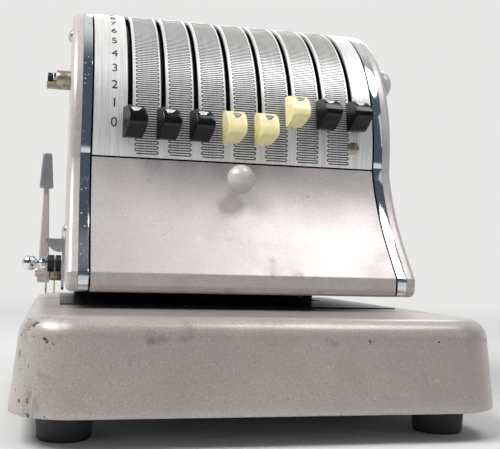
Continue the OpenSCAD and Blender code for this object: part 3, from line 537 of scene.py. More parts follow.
def plastic(name, colour, shade, rough, spot_scale=500.0, coat=0.5, gloss=0.5):
    """Moulded plastic: a cloudy tint, handling marks and a soft ripple."""
    f = Finish(name, Coat_Weight=coat, Coat_Roughness=0.08, Specular_IOR_Level=gloss)
    cloud = f.between(f.noise(f.vector, 160.0, 3.0), 0.3, 0.7)
    film = f.use(FILM, Vector=f.vector, Scale=90.0)["Mask"]
    pits = f.use(PITS, Vector=f.vector, Scale=spot_scale, Size=0.25, Share=0.85)["Mask"]
    edge = f.add("ShaderNodeAttribute", attribute_name="edge").outputs["Fac"]
    worn = f.use(WEAR, Vector=f.vector, Edge=edge, Amount=0.28, Scale=420.0)["Scuffs"]
    base = f.mix(f.calc("MULTIPLY", cloud, 0.25), colour, shade)
    base = f.mix(f.calc("MULTIPLY", worn, 0.45), base, shade)
    f.set(Base_Color=f.mix(f.calc("MULTIPLY", pits, 0.5), base, shade))
    f.set(Roughness=f.calc("MULTIPLY_ADD", film, 0.16, rough))
    f.bump(f.noise(f.vector, 380.0, 1.0), 0.00003, 0.5)
    return f.material


TAUPE = enamel("taupe_enamel", srgb(200, 193, 191), srgb(232, 227, 225), srgb(160, 151, 147), srgb(104, 92, 82),
               srgb(120, 110, 104), edge_amount=0.13, fleck=0.4)
# The base's enamel is a darker copy of the head's, painted shade on the base, with more wear at its edges
BASE_SHADED_ENAMEL = enamel("taupe_enamel_shaded_worn", srgb(182, 173, 168), srgb(220, 213, 209), srgb(140, 130, 124),
                    srgb(70, 60, 52), srgb(96, 86, 79), edge_amount=0.22, fleck=0.4)
DARK_PAINT = enamel("black_enamel", srgb(38, 38, 40), srgb(60, 60, 64), srgb(22, 22, 24), srgb(120, 116, 110),
                    srgb(66, 62, 58), metallic=0.0, rough=0.42, fleck=0.25)
CHROME = polished("trim_chrome", srgb(226, 229, 232), 0.07, 0.55)
NICKEL = polished("nickel_plate", srgb(205, 206, 206), 0.16, 0.75)
STEEL = machined("machined_steel", srgb(176, 177, 178), 0.34, (900.0, 60.0, 60.0))
CROSS_STEEL = machined("rolled_steel", srgb(150, 151, 152), 0.42, (60.0, 60.0, 900.0), 0.1)
BRASS = machined("aged_brass", srgb(178, 156, 108), 0.36, (300.0, 300.0, 300.0), 0.08, srgb(84, 66, 40), 0.5)
BLACK_STEEL = machined("blued_steel", srgb(62, 62, 66), 0.45, (300.0, 80.0, 80.0), 0.15, srgb(40, 34, 30), 0.4)
BLACK_KEY = plastic("black_keys", srgb(12, 12, 13), srgb(34, 34, 36), 0.14, coat=0.0, gloss=0.4)
CREAM_KEY = plastic("cream_keys", srgb(246, 236, 180), srgb(220, 198, 128), 0.22)
PEARL = plastic("pearl_grey", srgb(204, 200, 199), srgb(178, 172, 169), 0.20)
AGED_NICKEL = machined("aged_nickel", srgb(176, 168, 148), 0.32, (60.0, 400.0, 400.0), 0.1, srgb(60, 54, 44), 0.5)
# The black keys' tab is a lighter copy of the tab steel, a painted glint; the grey copy is the cream keys' own steel
# tone
TAB_PAINTED_GLINT = machined("tab_painted_glint", srgb(214, 214, 212), 0.4, (500.0, 500.0, 500.0), 0.06, tarnish_amount=0.1)
TAB_GREY = machined("grey_tab", srgb(150, 152, 154), 0.45, (500.0, 500.0, 500.0), 0.1)
PADDLE_STEEL = machined("paddle_steel", srgb(168, 172, 174), 0.42, (300.0, 60.0, 60.0), 0.08)


def brushed_face():
    """The face plate: bright metal brushed round the arc, so the strokes keep one x, with faint hairlines."""
    f = Finish("brushed_face", Metallic=0.55)
    grain = f.use(GRAIN, Vector=f.vector, Stretch=(1500.0, 14.0, 14.0), Strength=0.16)
    broad = f.use(GRAIN, Vector=f.vector, Stretch=(260.0, 9.0, 9.0), Strength=0.07)
    film = f.use(FILM, Vector=f.vector, Scale=26.0)["Mask"]
    hair = f.use(SCRATCH, Vector=f.vector, Stretch=(1.0, 0.5, 0.5), Scale=50.0, Width=0.006)["Mask"]
    level = f.calc("MULTIPLY", grain["Value"], broad["Value"])
    base = f.mix(1.0, srgb(243, 242, 239), f.grey(level), "MULTIPLY")
    base = f.mix(f.calc("MULTIPLY", film, 0.14), base, srgb(120, 112, 100))
    f.set(Base_Color=base)
    rough = f.calc("MULTIPLY_ADD", film, 0.12, 0.34)
    f.set(Roughness=f.calc("MULTIPLY_ADD", hair, -0.08, rough))
    f.bump(grain["Height"], 0.00003, 0.8)
    return f.material


def groove_fill():
    """The dark floor of the engraved lines, with specks of bare metal."""
    f = Finish("engraved_line", Metallic=0.4)
    film = f.noise(f.vector, 420.0, 3.0)
    f.set(Base_Color=f.mix(f.between(film, 0.55, 0.75), srgb(36, 36, 36), srgb(104, 103, 100)))
    f.set(Roughness=f.between(film, 0.3, 0.7, 0.45, 0.65))
    return f.material


def numeral_ink():
    """Black filled numerals, a little uneven."""
    f = Finish("numeral_ink")
    film = f.noise(f.vector, 300.0, 3.0)
    f.set(Base_Color=f.mix(f.between(film, 0.4, 0.8), srgb(26, 26, 28), srgb(60, 58, 56)))
    f.set(Roughness=f.between(film, 0.3, 0.7, 0.35, 0.5))
    return f.material


def dial_white():
    """White painted numerals on the indicator bands."""
    f = Finish("dial_white")
    film = f.noise(f.vector, 300.0, 3.0)
    f.set(Base_Color=f.mix(f.between(film, 0.4, 0.8), srgb(238, 236, 228), srgb(206, 200, 186)))
    f.set(Roughness=f.between(film, 0.3, 0.7, 0.4, 0.55))
    return f.material


def rubber():
    """Matt dark rubber with a fine grain and a bloom of dust."""
    f = Finish("foot_rubber")
    grain = f.noise(f.vector, 1600.0, 2.0)
    film = f.use(FILM, Vector=f.vector, Scale=70.0)["Mask"]
    base = f.mix(f.between(grain, 0.4, 0.7), srgb(40, 40, 41), srgb(54, 54, 54))
    f.set(Base_Color=f.mix(f.calc("MULTIPLY", film, 0.3), base, srgb(96, 94, 90)))
    f.set(Roughness=f.calc("MULTIPLY_ADD", film, 0.15, 0.62))
    f.bump(grain, 0.00008, 0.7)
    return f.material


def lens():
    """Clear lens bars with faint scuffs."""
    f = Finish("clear_lens", Transmission_Weight=0.85, IOR=1.49, Coat_Weight=0.6, Coat_Roughness=0.04)
    film = f.use(FILM, Vector=f.vector, Scale=120.0)["Mask"]
    f.set(Base_Color=f.mix(film, srgb(244, 247, 248), srgb(224, 228, 228)))
    f.set(Roughness=f.calc("MULTIPLY_ADD", film, 0.12, 0.06))
    return f.material


def lever_steel():
    """Type levers: bare steel outside the face, and a near black inside the head as painted shade, by the distance from
    the shaft.
    """
    f = Finish("lever_steel", Metallic=1.0)
    from_shaft = f.add("ShaderNodeVectorMath", {0: f.vector, 1: (0.0, LEVER_Y * MM, LEVER_Z * MM)},
                       operation="SUBTRACT").outputs[0]
    radius = f.add("ShaderNodeVectorMath", {0: f.stretch(from_shaft, (0.0, 1.0, 1.0))},
                   operation="LENGTH").outputs["Value"]
    outside = f.between(radius, (FACE_R - 1.2) * MM, (FACE_R - 0.6) * MM)
    grain = f.use(GRAIN, Vector=f.vector, Stretch=(90.0, 300.0, 300.0), Strength=0.14)
    film = f.use(FILM, Vector=f.vector, Scale=80.0)["Mask"]
    # painted shade: the lever's colour falls to near black inside the head, where it lies in shade
    colour = f.mix(outside, srgb(34, 34, 36), srgb(172, 172, 170))
    colour = f.mix(1.0, colour, f.grey(grain["Value"]), "MULTIPLY")
    f.set(Base_Color=f.mix(f.calc("MULTIPLY", film, 0.3), colour, srgb(84, 74, 62)))
    f.set(Roughness=f.calc("MULTIPLY_ADD", film, 0.2, 0.36))
    f.bump(grain["Height"], 0.00002, 0.6)
    return f.material


FACE_METAL, GROOVE, INK, DIAL, RUBBER, LENS, LEVER_STEEL = (
    make() for make in (brushed_face, groove_fill, numeral_ink, dial_white, rubber, lens, lever_steel))

# ---- Head profile in Y and Z, from the face plate's lower edge ----
CREASE, BEND = (-36.3, -59.3), (-23.0, -43.6)


def face_arc(a0, a1, n):
    """The face plate's circle from angle a0 to a1 above the shaft."""
    return arc((FACE_R, EDGE_DROP), FACE_R, 180 - a0, 180 - a1, n)


def front_path():
    """From the plate's lower edge down the sweep, over the crease and under the chin."""
    slope = np.array(CREASE) - np.array(BEND)
    slope = slope / np.linalg.norm(slope)
    turn = math.radians(90) - math.atan2(-slope[1], -slope[0])
    r = 1.8
    leg = r * math.tan(turn / 2)
    start = np.array(CREASE) - slope * leg
    centre = np.array([CREASE[0] + r, CREASE[1] - leg])
    a0 = 180 - math.degrees(turn)
    return chain(
        bezier((EDGE_IN, 0), (-2.7, -15.6), tuple(np.array(BEND) - slope * 14), BEND, 22),
        line(BEND, start, 6),
        arc(centre, r, a0, 180, 7),
        line((CREASE[0], CREASE[1] - leg), (CREASE[0], -COVER_H + 4), 4),
        arc((CREASE[0] + 4, -COVER_H + 4), 4, 180, 270, 9),
        line((CREASE[0] + 4, -COVER_H), (CHIN_Y, -COVER_H), 2))


def head_outline():
    """The head seen from the side, anticlockwise."""
    return chain(
        line((CHIN_Y, -COVER_H), (HEAD_LEN - FOOT_ROUND, -COVER_H), 12),
        arc((HEAD_LEN - FOOT_ROUND, FOOT_ROUND - COVER_H), FOOT_ROUND, -90, 0, 9),
        line((HEAD_LEN, FOOT_ROUND - COVER_H), (HEAD_LEN, TOP_Z - BACK_R), 8),
        arc((HEAD_LEN - BACK_R, TOP_Z - BACK_R), BACK_R, 0, 90, 24),
        line((HEAD_LEN - BACK_R, TOP_Z), (FACE_R, TOP_Z), 4),
        face_arc(90, -EDGE_A, 72),
        front_path())[:-1]


def at_head(path):
    """A path of the head moved to where the plate's lower edge is."""
    return np.asarray(path, float) + [FACE_Y, EDGE_Z]


# ---- Base ----
COLUMN_OPENING = (-63.1, 69.9, 31.0, 45.0)    # least and greatest x, then y
ROD_OPENING_X, ROD_OPENING_HALF_Y = (69.4, 74.0), 6.8


def base_ring(z, inset):
    """The base's outline at a height, drawn in by inset on every side."""
    p = rounded_rect(BASE_W / 2 - inset, BASE_D / 2 - inset, BASE_CORNER_R - inset, 20)
    return np.column_stack([p, np.full(len(p), z)])


def base_form():
    """Rounded rectangles up the leaning sides and over the quarter-round edge, then the top with its openings."""
    side_top = BASE_TOP - BASE_EDGE_R
    a = np.radians(np.linspace(0, 90, 13)[1:])
    heights = np.concatenate([[FOOT_H, FOOT_H + 0.25, FOOT_H + 1.0], np.linspace(FOOT_H + 4, side_top, 8),
                              side_top + BASE_EDGE_R * np.sin(a), [BASE_TOP]])
    lean = BASE_LEAN * (heights - FOOT_H) / (side_top - FOOT_H)
    lean[:3] += [0.8, 0.25, 0.0]
    inset = np.where(heights <= side_top, lean, BASE_LEAN)
    inset[11:-1] += BASE_EDGE_R * (1 - np.cos(a))
    inset[-1] = BASE_LEAN + BASE_EDGE_R + 0.8
    rings = np.stack([base_ring(z, i) for z, i in zip(heights, inset)])
    sides = skin(rings, ends=False)
    near, far = ROD_OPENING_X
    rod_y = (MAIN_Y - ROD_OPENING_HALF_Y, MAIN_Y + ROD_OPENING_HALF_Y)
    loops = [rings[-1][:, :2]] + [np.array([[x0, y0], [x1, y0], [x1, y1], [x0, y1]]) for x0, x1, y0, y1 in
                                  (COLUMN_OPENING, (near, far, *rod_y), (-far, -near, *rod_y))]
    points = np.concatenate(loops)
    top = (np.column_stack([points, np.full(len(points), BASE_TOP)]), filled(loops))
    return joined(sides, top)


def base_edge(p):
    """Wear on the base: on the rounded edge, most at the corners, and along the foot."""
    x, y, z = p.T
    corner = np.clip((np.abs(x) - 78) / 24, 0, 1) * np.clip((np.abs(y) - 92) / 28, 0, 1)
    nose = 0.6 * np.exp(-((z - 49) / 5.5) ** 2) + 1.1 * np.exp(-((z - 44.5) / 1.6) ** 2) * (y < -100)
    foot = np.clip((17 - z) / 4, 0, 1)
    left = np.clip((-x - 84) / 20, 0, 1) * np.clip((-y - 84) / 30, 0, 1)
    return 0.1 + 0.4 * nose + 0.3 * foot + 0.3 * corner + 0.5 * left


piece("base_casting", base_form(), "root", BASE_SHADED_ENAMEL, "base_shell", wall=BASE_WALL,
      heart=(0, 0, 30), sharp=50, edge=base_edge)


def foot_form():
    """A rubber foot turned from its profile: a pocket for the screw below, a rounded tread and a taper to the base."""
    r = FOOT_D / 2
    profile = chain(line((2.2, FOOT_H), (2.2, 5)), line((2.2, 5), (5, 5)), line((5, 5), (5, 0.5)),
                    arc((5.6, 0.6), 0.6, 180, 270, 4), line((5.6, 0), (r - 2.2, 0)),
                    arc((r - 2.2, 1.2), 1.2, 270, 355, 6), line((r - 0.95, 1.4), (r - 0.1, FOOT_H - 1)),
                    arc((r - 0.9, FOOT_H - 0.8), 0.8, 10, 90, 4), line((r - 0.9, FOOT_H), (2.2, FOOT_H)))[:-1]
    return turned(profile, 48, closed=True)


feet = [placed(foot_form(), at=(sx * FOOT_X, sy * FOOT_Y, 0)) for sx in (-1, 1) for sy in (-1, 1)]
piece("foot_pads", joined(*feet), "root", RUBBER, "rubber_feet")


# ---- Cheeks and trim bands ----
def cheek_form(side):
    """The side's outline shrunk along a quarter round of 3 mm to the outer face, with a pocket inside."""
    outline = head_outline()
    rim, lip, wall = 3.0, 4.5, 2.0
    a = np.radians(np.linspace(0, 90, 11))
    xs = np.concatenate([[OUTER_X - wall, BAND_OUT, BAND_OUT], OUTER_X - rim + rim * np.sin(a), [OUTER_X]])
    insets = np.concatenate([[lip, lip, 0.0], rim * (1 - np.cos(a)), [rim + 0.7]])
    rings = across(xs, [at_head(shifted(outline, i, True)) for i in insets])
    form = skin(rings, ends=False)
    holes = [bore_loop((MAIN_Y, MAIN_Z), 7, 36)] if side > 0 else []
    caps = []
    for ring, x in ((rings[0], OUTER_X - wall), (rings[-1], OUTER_X)):
        loops = [ring[:, 1:], *holes]
        caps.append((at_x(x, np.concatenate(loops)), filled(loops)))
    walls = [skin(across([OUTER_X - wall, OUTER_X], [h, h]), ends=False) for h in holes]
    points, faces = joined(form, *caps, *walls)
    return points * [side, 1, 1], faces


def cheek_edge(p):
    """Wear on a cheek: on its rounded rim, more towards the foot."""
    x, y, z = p.T
    rim = np.clip((OUTER_X - np.abs(x)) / 2.5, 0, 1)
    return 0.1 + 0.45 * rim * np.clip((120 - z) / 60, 0.2, 1)


for side, word in ((-1, "left"), (1, "right")):
    piece(f"cheek_skin_{word}", cheek_form(side), "root", TAUPE, f"cheek_{word}", sharp=40,
          edge=cheek_edge)


def band_form(side):
    """A crowned section carried along the front path: x runs across the band, and the crown falls as a parabola."""
    path = chain(face_arc(PLATE_TOP_A, -EDGE_A, 80), front_path())
    normal = path - shifted(path, 1.0)
    x0, x1, thick, crown = PLATE_HALF + 0.1, BAND_OUT - 0.15, 1.8, 0.1
    u = np.concatenate([np.linspace(-1, 1, 13), [1, -1]])
    out = np.concatenate([-crown * np.abs(np.linspace(-1, 1, 13)) ** 3, [-thick, -thick]])
    x = (x0 + x1) / 2 + u * (x1 - x0) / 2
    yz = at_head(path)[:, None, :] + normal[:, None, :] * out[None, :, None]
    rings = np.concatenate([np.broadcast_to(x[None, :, None], (len(path), len(x), 1)), yz], -1)
    points, faces = skin(rings)
    return points * [side, 1, 1], faces


for side, word in ((-1, "left"), (1, "right")):
    piece(f"chrome_band_{word}", band_form(side), "root", CHROME, f"trim_band_{word}", sharp=50)


# ---- Face plate ----
def degrees_up(a):
    """Height along the face, in millimetres, of an angle above the shaft."""
    return np.radians(a) * FACE_R


def plate_form():
    """A grid of x and height without the slots and windows; a slot's two edges close as a half circle at its ends."""
    half = SLOT_W / 2
    s0, s1 = degrees_up(-EDGE_A + 0.3), degrees_up(PLATE_TOP_A)
    low, top = degrees_up(SLOT_LOW_A), degrees_up(SLOT_TOP_A)
    wl, wh = degrees_up(WINDOW_MID_A - WINDOW_HALF_A), degrees_up(WINDOW_MID_A + WINDOW_HALF_A)
    ends = half * np.sin(np.radians(np.linspace(0, 90, 9)))
    rows = np.unique(np.round(np.concatenate([
        np.linspace(s0, low, 5), low + half - ends, np.linspace(low + half, top - half, 52), top - half + ends,
        [top + 0.7, wl, wh], np.linspace(wl, wh, 5), np.linspace(wh, s1, 3)]), 4))
    edges = np.concatenate([SLOT_X - half, SLOT_X + half])
    windows = np.concatenate([SLOT_X + WINDOW_OFF - WINDOW_W / 2, SLOT_X + WINDOW_OFF + WINDOW_W / 2])
    cols = np.sort(np.concatenate([[-PANEL_HALF, PANEL_HALF], edges, windows, SLOT_X + half + 1.2, [-74.0, 72.0]]))
    s = rows[:, None] + 0 * cols
    x = cols[None, :] + 0 * rows[:, None]
    reach = np.maximum(np.maximum(rows - (top - half), (low + half) - rows), 0)
    closing = np.where(reach <= half, np.sqrt(np.maximum(half ** 2 - np.minimum(reach, half) ** 2, 0)), half)
    for xk in SLOT_X:
        for sign in (-1, 1):
            j = int(np.argmin(np.abs(cols - (xk + sign * half))))
            x[:, j] = xk + sign * closing
    quads = grid_quads(len(rows), len(cols)).reshape(len(rows) - 1, len(cols) - 1, 4)
    mid_x, mid_s = (cols[:-1] + cols[1:]) / 2, (rows[:-1] + rows[1:]) / 2
    in_slot = (np.abs(mid_x[:, None] - SLOT_X) < half - 0.01).any(1)[None, :] & ((mid_s > low) & (mid_s < top))[:, None]
    in_window = (np.abs(mid_x[:, None] - SLOT_X - WINDOW_OFF) < WINDOW_W / 2 - 0.01).any(1)[None, :] \
        & ((mid_s > wl) & (mid_s < wh))[:, None]
    keep = ~(in_slot | in_window)
    points = np.stack([x, s, 0 * x], -1).reshape(-1, 3)
    return on_face((points, quads[keep].tolist()))


piece("face_panel", plate_form(), "root", FACE_METAL, "face_plate", bevel=0.22, wall=PLATE_T,
      heart=(0, LEVER_Y, LEVER_Z))


def meander(x0, x1, s0, s1, pitch=1.32):
    """A line that crosses from x0 to x1 and back, a pitch higher each time, with half-circle bends."""
    count = int((s1 - s0) / pitch)
    r = pitch / 2
    i = np.arange(count)[:, None]
    bend = np.radians(np.linspace(-90, 90, 7))[None, :]
    forward = np.where(i % 2 == 0, 1.0, -1.0)
    mid, reach = (x0 + x1) / 2, (x1 - x0) / 2 - r
    start = np.stack([mid - forward * reach, s0 + i * pitch], -1)
    turn = np.stack([mid + forward * (reach + r * np.cos(bend)), s0 + i * pitch + r + r * np.sin(bend)], -1)
    return chain(np.concatenate([start, turn], 1).reshape(-1, 2))


def ribbon(path, width, proud, deep):
    """A four-cornered section carried along a flat path on the face."""
    side = shifted(path, width / 2) - path
    corners = [path - side, path + side, path + side, path - side]
    outs = [proud, proud, -deep, -deep]
    return skin(np.stack([np.column_stack([c, np.full(len(c), o)]) for c, o in zip(corners, outs)], 1))


def engraving_form():
    """A crossing line in each of the seven strips between slots."""
    low, high = degrees_up(-EDGE_A + 1.6), degrees_up(77.0)
    lines = [ribbon(meander(x + 3.15, x + PITCH - 2.45, low, high), 0.6, 0.02, 0.3) for x in SLOT_X[:-1]]
    return on_face(joined(*lines))


piece("face_engraving", engraving_form(), "root", GROOVE, sharp=50)

_numerals = {}


def numeral(text, height):
    """A flat numeral of that height, centred, with a little thickness, as a form."""
    if text not in _numerals:
        curve = bpy.data.curves.new("numeral", "FONT")
        curve.body, curve.resolution_u, curve.extrude = text, 4, 0.02
        obj = bpy.data.objects.new("numeral", curve)
        bpy.context.scene.collection.objects.link(obj)
        bpy.context.view_layer.update()
        mesh = bpy.data.meshes.new_from_object(obj.evaluated_get(bpy.context.evaluated_depsgraph_get()))
        co = np.empty(len(mesh.vertices) * 3)
        mesh.vertices.foreach_get("co", co)
        co = co.reshape(-1, 3)
        faces = [list(p.vertices) for p in mesh.polygons]
        middle = (co.min(0) + co.max(0)) / 2
        _numerals[text] = ((co - middle) / (co[:, 1].max() - co[:, 1].min()), faces)
        bpy.data.objects.remove(obj)
        bpy.data.curves.remove(curve)
        bpy.data.meshes.remove(mesh)
    points, faces = _numerals[text]
    return points * [height, height, height], faces


scale_digits = [placed(numeral(str(i), 5.0), at=(-66.0, degrees_up(KEY_LOW_A + i * KEY_STEP), 0)) for i in range(10)]
piece("face_numerals", on_face(joined(*scale_digits)), "root", INK, sharp=30)


def lens_form(x0, x1, s0, s1):
    """Chords of a bar with a round right end: the height over the plate is a half circle across the bar."""
    v = np.sin(np.radians(np.linspace(-90, 90, 15)))
    u = np.linspace(0, 1, 13)
    half = (s1 - s0) / 2
    right = x1 - half * (1 - np.sqrt(np.maximum(1 - v ** 2, 0)))
    left = x0 + 0.6 * (1 - np.sqrt(np.maximum(1 - v ** 2, 0)))
    x = left[:, None] + (right - left)[:, None] * u
    s = (s0 + s1) / 2 + half * v[:, None] + 0 * x
    end = np.clip((u - 0.78) / 0.22, 0, 1)[None, :]
    rise = np.sqrt(np.maximum((1 - v ** 2)[:, None] * (1 - 0.85 * end ** 2), 0)) * 0.95 - 0.25
    return between_grids(np.stack([x, s, rise], -1), np.stack([x, s, 0 * x - PLATE_T], -1))


lenses = [lens_form(x + WINDOW_OFF - WINDOW_W / 2 + 0.05, x + WINDOW_OFF + WINDOW_W / 2 - 0.05,
                    degrees_up(WINDOW_MID_A - WINDOW_HALF_A) + 0.08, degrees_up(WINDOW_MID_A + WINDOW_HALF_A) - 0.08)
          for x in SLOT_X]
piece("lens_bars", on_face(joined(*lenses)), "root", LENS, "window_lenses", sharp=50)

FACE_SCREW_AT = (SLOT_X[-1] + 0.4, LEVER_Y - FACE_R - 0.05, EDGE_Z + 11.5)
piece("face_plate_screw", placed(screw(3.4, 0.95, 0.8, 0.6, 3), (90, 0, 0), FACE_SCREW_AT), "root",
      AGED_NICKEL, "face_screw", sharp=40)


# ---- Front cover and knob ----
def cover_form():
    """A strip along the front path, 2 mm thick, carried across the head, with a hinge ear at each end."""
    path = front_path()
    path = chain(np.array([[EDGE_IN - 0.15, -0.5]]), path[path[:, 1] < -1.2])
    ear = chain(arc((CHIN_Y, CHIN_Z), CHIN_R - 1, 170, 360, 28),
                line((CHIN_Y + CHIN_R - 1, CHIN_Z + 8), (CHIN_Y + 6, CHIN_Z + 12)))
    hole = arc((CHIN_Y, CHIN_Z), 2.05, 0, 345, 24)
    ears = [plate(at_head(ear), s * (PANEL_HALF - 3), s * (PANEL_HALF - 0.4), [at_head(hole)]) for s in (-1, 1)]
    return joined(prism(at_head(strip(path, COVER_T)), -PANEL_HALF, PANEL_HALF), *ears)


def cover_edge(p):
    """Wear on the front cover: along the crease and the two side edges."""
    x, y, z = p.T
    crease = np.exp(-((z - EDGE_Z - CREASE[1]) / 1.6) ** 2)
    side = np.clip((np.abs(x) - PANEL_HALF + 1.5) / 1.5, 0, 1)
    return 0.35 * crease + 0.35 * side


piece("front_panel", cover_form(), "front_cover", TAUPE, "front_cover", bevel=0.45, edge=cover_edge)


def knob_form():
    """A turned disc: a small cove at the back, a rounded rim and a dome that is part of a sphere."""
    r, dome = 7.4, 5.5
    ball = (r * r + dome * dome) / (2 * dome)
    low = 1.6 + dome - ball
    start = math.degrees(math.acos(r / ball)) + 3
    profile = chain(line((0, 0), (6, 0)), arc((6, 0.5), 0.5, 270, 330, 3), line((r - 0.4, 1.0), (r - 0.04, 1.5), 3),
                    arc((0, low), ball, start, 90, 26))
    profile[-1, 0] = 0
    return turned(profile, 72)


KNOB_X, KNOB_DROP, COVER_LEAN = -0.5, 9.6, 0.3
KNOB_AT = (KNOB_X, FACE_Y - 2.42 - KNOB_DROP * COVER_LEAN, EDGE_Z - KNOB_DROP)
piece("knob_cap", placed(knob_form(), (90, 0, 0), (KNOB_AT[0], KNOB_AT[1] - 6, KNOB_AT[2])), "front_cover",
      PEARL, "cover_knob", sharp=50)
stem = turned([(0, -5), (1.5, -5), (1.5, 0.4), (2.7, 0.4), (3, 0.8), (3, 5.2), (2.7, 5.6), (1.5, 5.6), (1.5, 6.6),
               (0, 6.6)], 32)
piece("knob_post", placed(stem, (90, 0, 0), KNOB_AT), "front_cover", NICKEL, "knob_stem")


# ---- Top cover ----
def top_form():
    """A 2 mm strip from the plate's top over the back, carried across the head."""
    path = chain(face_arc(PLATE_TOP_A + 0.3, 90, 6), line((FACE_R, TOP_Z), (HEAD_LEN - BACK_R, TOP_Z), 3),
                 arc((HEAD_LEN - BACK_R, TOP_Z - BACK_R), BACK_R, 90, 0, 26),
                 line((HEAD_LEN, TOP_Z - BACK_R), (HEAD_LEN, -COVER_H), 4))
    return prism(at_head(strip(path[::-1], COVER_T)), -BAND_OUT + 0.1, BAND_OUT - 0.1)


piece("top_sheet", top_form(), "root", TAUPE, "top_cover", bevel=0.4)

heads = [placed(screw(4.2, 2.1, 0.9, 1.0, 2), (0, 90 * sign, 0), (sign * OUTER_X, y, z))
         for sign in (-1, 1) for y, z in SCREWS]
piece("cheek_screw_heads", joined(*heads), "root", NICKEL, "cheek_screws", sharp=40)


# ---- Keys ----
def key_form(k, cream):
    """The key's side outline skinned from its left to its right side, which spread as it comes forward.

    A cream key's front slopes down to a low ridge. A black key has a domed top over a sharp ridge at half its height.
    """
    if cream:
        side = chain(line((0, -0.5), (0.3, -0.5), 2), line((0.3, -0.5), (0.96, -0.27), 5),
                     bezier((0.98, -0.25), (1.01, -0.12), (0.96, 0.0), (0.86, 0.12), 8),
                     bezier((0.86, 0.12), (0.72, 0.36), (0.6, 0.5), (0.3, 0.5), 8), line((0.3, 0.5), (0, 0.5), 2))
    else:
        side = chain(line((0, -0.5), (0.25, -0.5), 2),
                     bezier((0.25, -0.5), (0.45, -0.45), (0.8, -0.26), (0.95, -0.17), 7),
                     line((0.95, -0.17), (1.0, -0.02), 3),
                     bezier((1.0, -0.02), (0.88, 0.2), (0.72, 0.38), (0.45, 0.45), 9),
                     line((0.45, 0.45), (0, 0.46), 3))
    out, up = side[:, 0] * KEY_OUT, side[:, 1] * KEY_H
    high = np.clip((up + 0.3) / (KEY_H / 2 + 0.3), 0, 1)
    bulge = 1 - np.clip(up / (KEY_H / 2), -1, 1) ** 4 if cream else 2.4 * np.sqrt(1 - 0.96 * high ** 2) - 1.1
    left = np.column_stack([KEY_LEFT + (0.22 if cream else 0.3) * out, -KEY_FOOT - out, up])
    spread = 0.2 * out + 0.08 * (np.minimum(up, 0 if not cream else 9) + KEY_H / 2) + 1.3 * bulge
    right = np.column_stack([KEY_RIGHT + spread, -KEY_FOOT - out, up])
    t = np.linspace(0, 1, 7)[:, None, None]
    form = skin(left * (1 - t) + right * t)
    return at_key(form, k)


def at_key(form, k):
    """A form beside key k turned about the shaft to the key's rest step."""
    turn = -(KEY_LOW_A + KEY_STEP * REST_STEP[k])
    return placed(form, (turn, 0, 0), (SLOT_X[k], LEVER_Y, LEVER_Z))


def tab_form(cream):
    """The end of the lever's tab on top of a key: a flat dome whose radius goes in and out with the angle."""
    rx, ry = (2.2, 1.6) if cream else (2.3, 1.7)
    t = np.linspace(0, 1, 9)
    dome = turned(np.column_stack([np.sin(t * np.pi / 2), np.cos(t * np.pi / 2)]), 28)
    base = turned([(1, 0), (1, -4), (0, -4)], 28)
    points, faces = joined(dome, base)
    a = np.arctan2(points[:, 1], points[:, 0])
    points = points * (1 + 0.16 * np.sin(3 * a + 0.5) + 0.1 * np.sin(5 * a))[:, None] ** [1, 1, 0]
    tilt, x, out, up = (62, 3.0, 7.1, 5.7) if cream else (53, 2.5, 7.1, 5.5)
    return placed((points * [rx, ry, 0.3], faces), (tilt, 0, 0), (x, -KEY_FOOT - out, up))


for k in range(8):
    cream = 3 <= k <= 5
    piece(f"key_cap_{k + 1}", key_form(k, cream), f"lever_{k + 1}",
          CREAM_KEY if cream else BLACK_KEY, f"key_{k + 1}", bevel=0.45 if cream else 0.4)
    # a black key's tab takes the lighter steel, a painted glint
    piece(f"key_tab_{k + 1}", at_key(tab_form(cream), k), f"lever_{k + 1}",
          TAB_GREY if cream else TAB_PAINTED_GLINT, sharp=50)

# ---- Numerals on the levers' indicator bands ----
for k in range(8):
    x = SLOT_X[k] + WINDOW_OFF / 2 - 3.4
    heights = [np.radians(WINDOW_MID_A - (i - REST_STEP[k]) * KEY_STEP) * INDICATOR_R for i in range(10)]
    digits = [placed(numeral(str(i), 4.4), at=(x, height, 0.03)) for i, height in enumerate(heights)]
    piece(f"dial_numerals_{k + 1}", on_face(joined(*digits), INDICATOR_R), f"lever_{k + 1}", DIAL,
          sharp=30)


# ---- Handle ----
def at_handle(form):
    """A form of the handle turned up to its rest angle about the main shaft."""
    return placed(form, (-HANDLE_RISE, 0, 0), (0, MAIN_Y, MAIN_Z))


def grip_form():
    """Ellipses along the grip: flat at the arm, swelling to the tip, which closes as a quarter of an ellipse."""
    t = np.linspace(0, 1, 22)
    swell = t * t * (3 - 2 * t)
    body_l = GRIP_L - GRIP_T * 0.6
    closing = np.radians(np.arange(9, 90, 9))
    along = np.concatenate([[0, 0.3], 0.6 + (body_l - 0.6) * t, body_l + (GRIP_L - body_l) * np.sin(closing)])
    tip = np.cos(closing)
    thick = np.concatenate([[0.5, 0.56], 0.6 + 0.4 * swell, tip]) * GRIP_T / 2
    wide = np.concatenate([[0.62, 0.68], 0.71 + 0.29 * swell, tip]) * GRIP_W / 2
    a = np.radians(np.arange(0, 360, 8))
    rings = np.stack([thick[:, None] * np.cos(a), wide[:, None] * np.sin(a), along[:, None] + 0 * a], -1)
    return placed(skin(rings), (90, 0, 0), (GRIP_X, TANG_Y, 0))


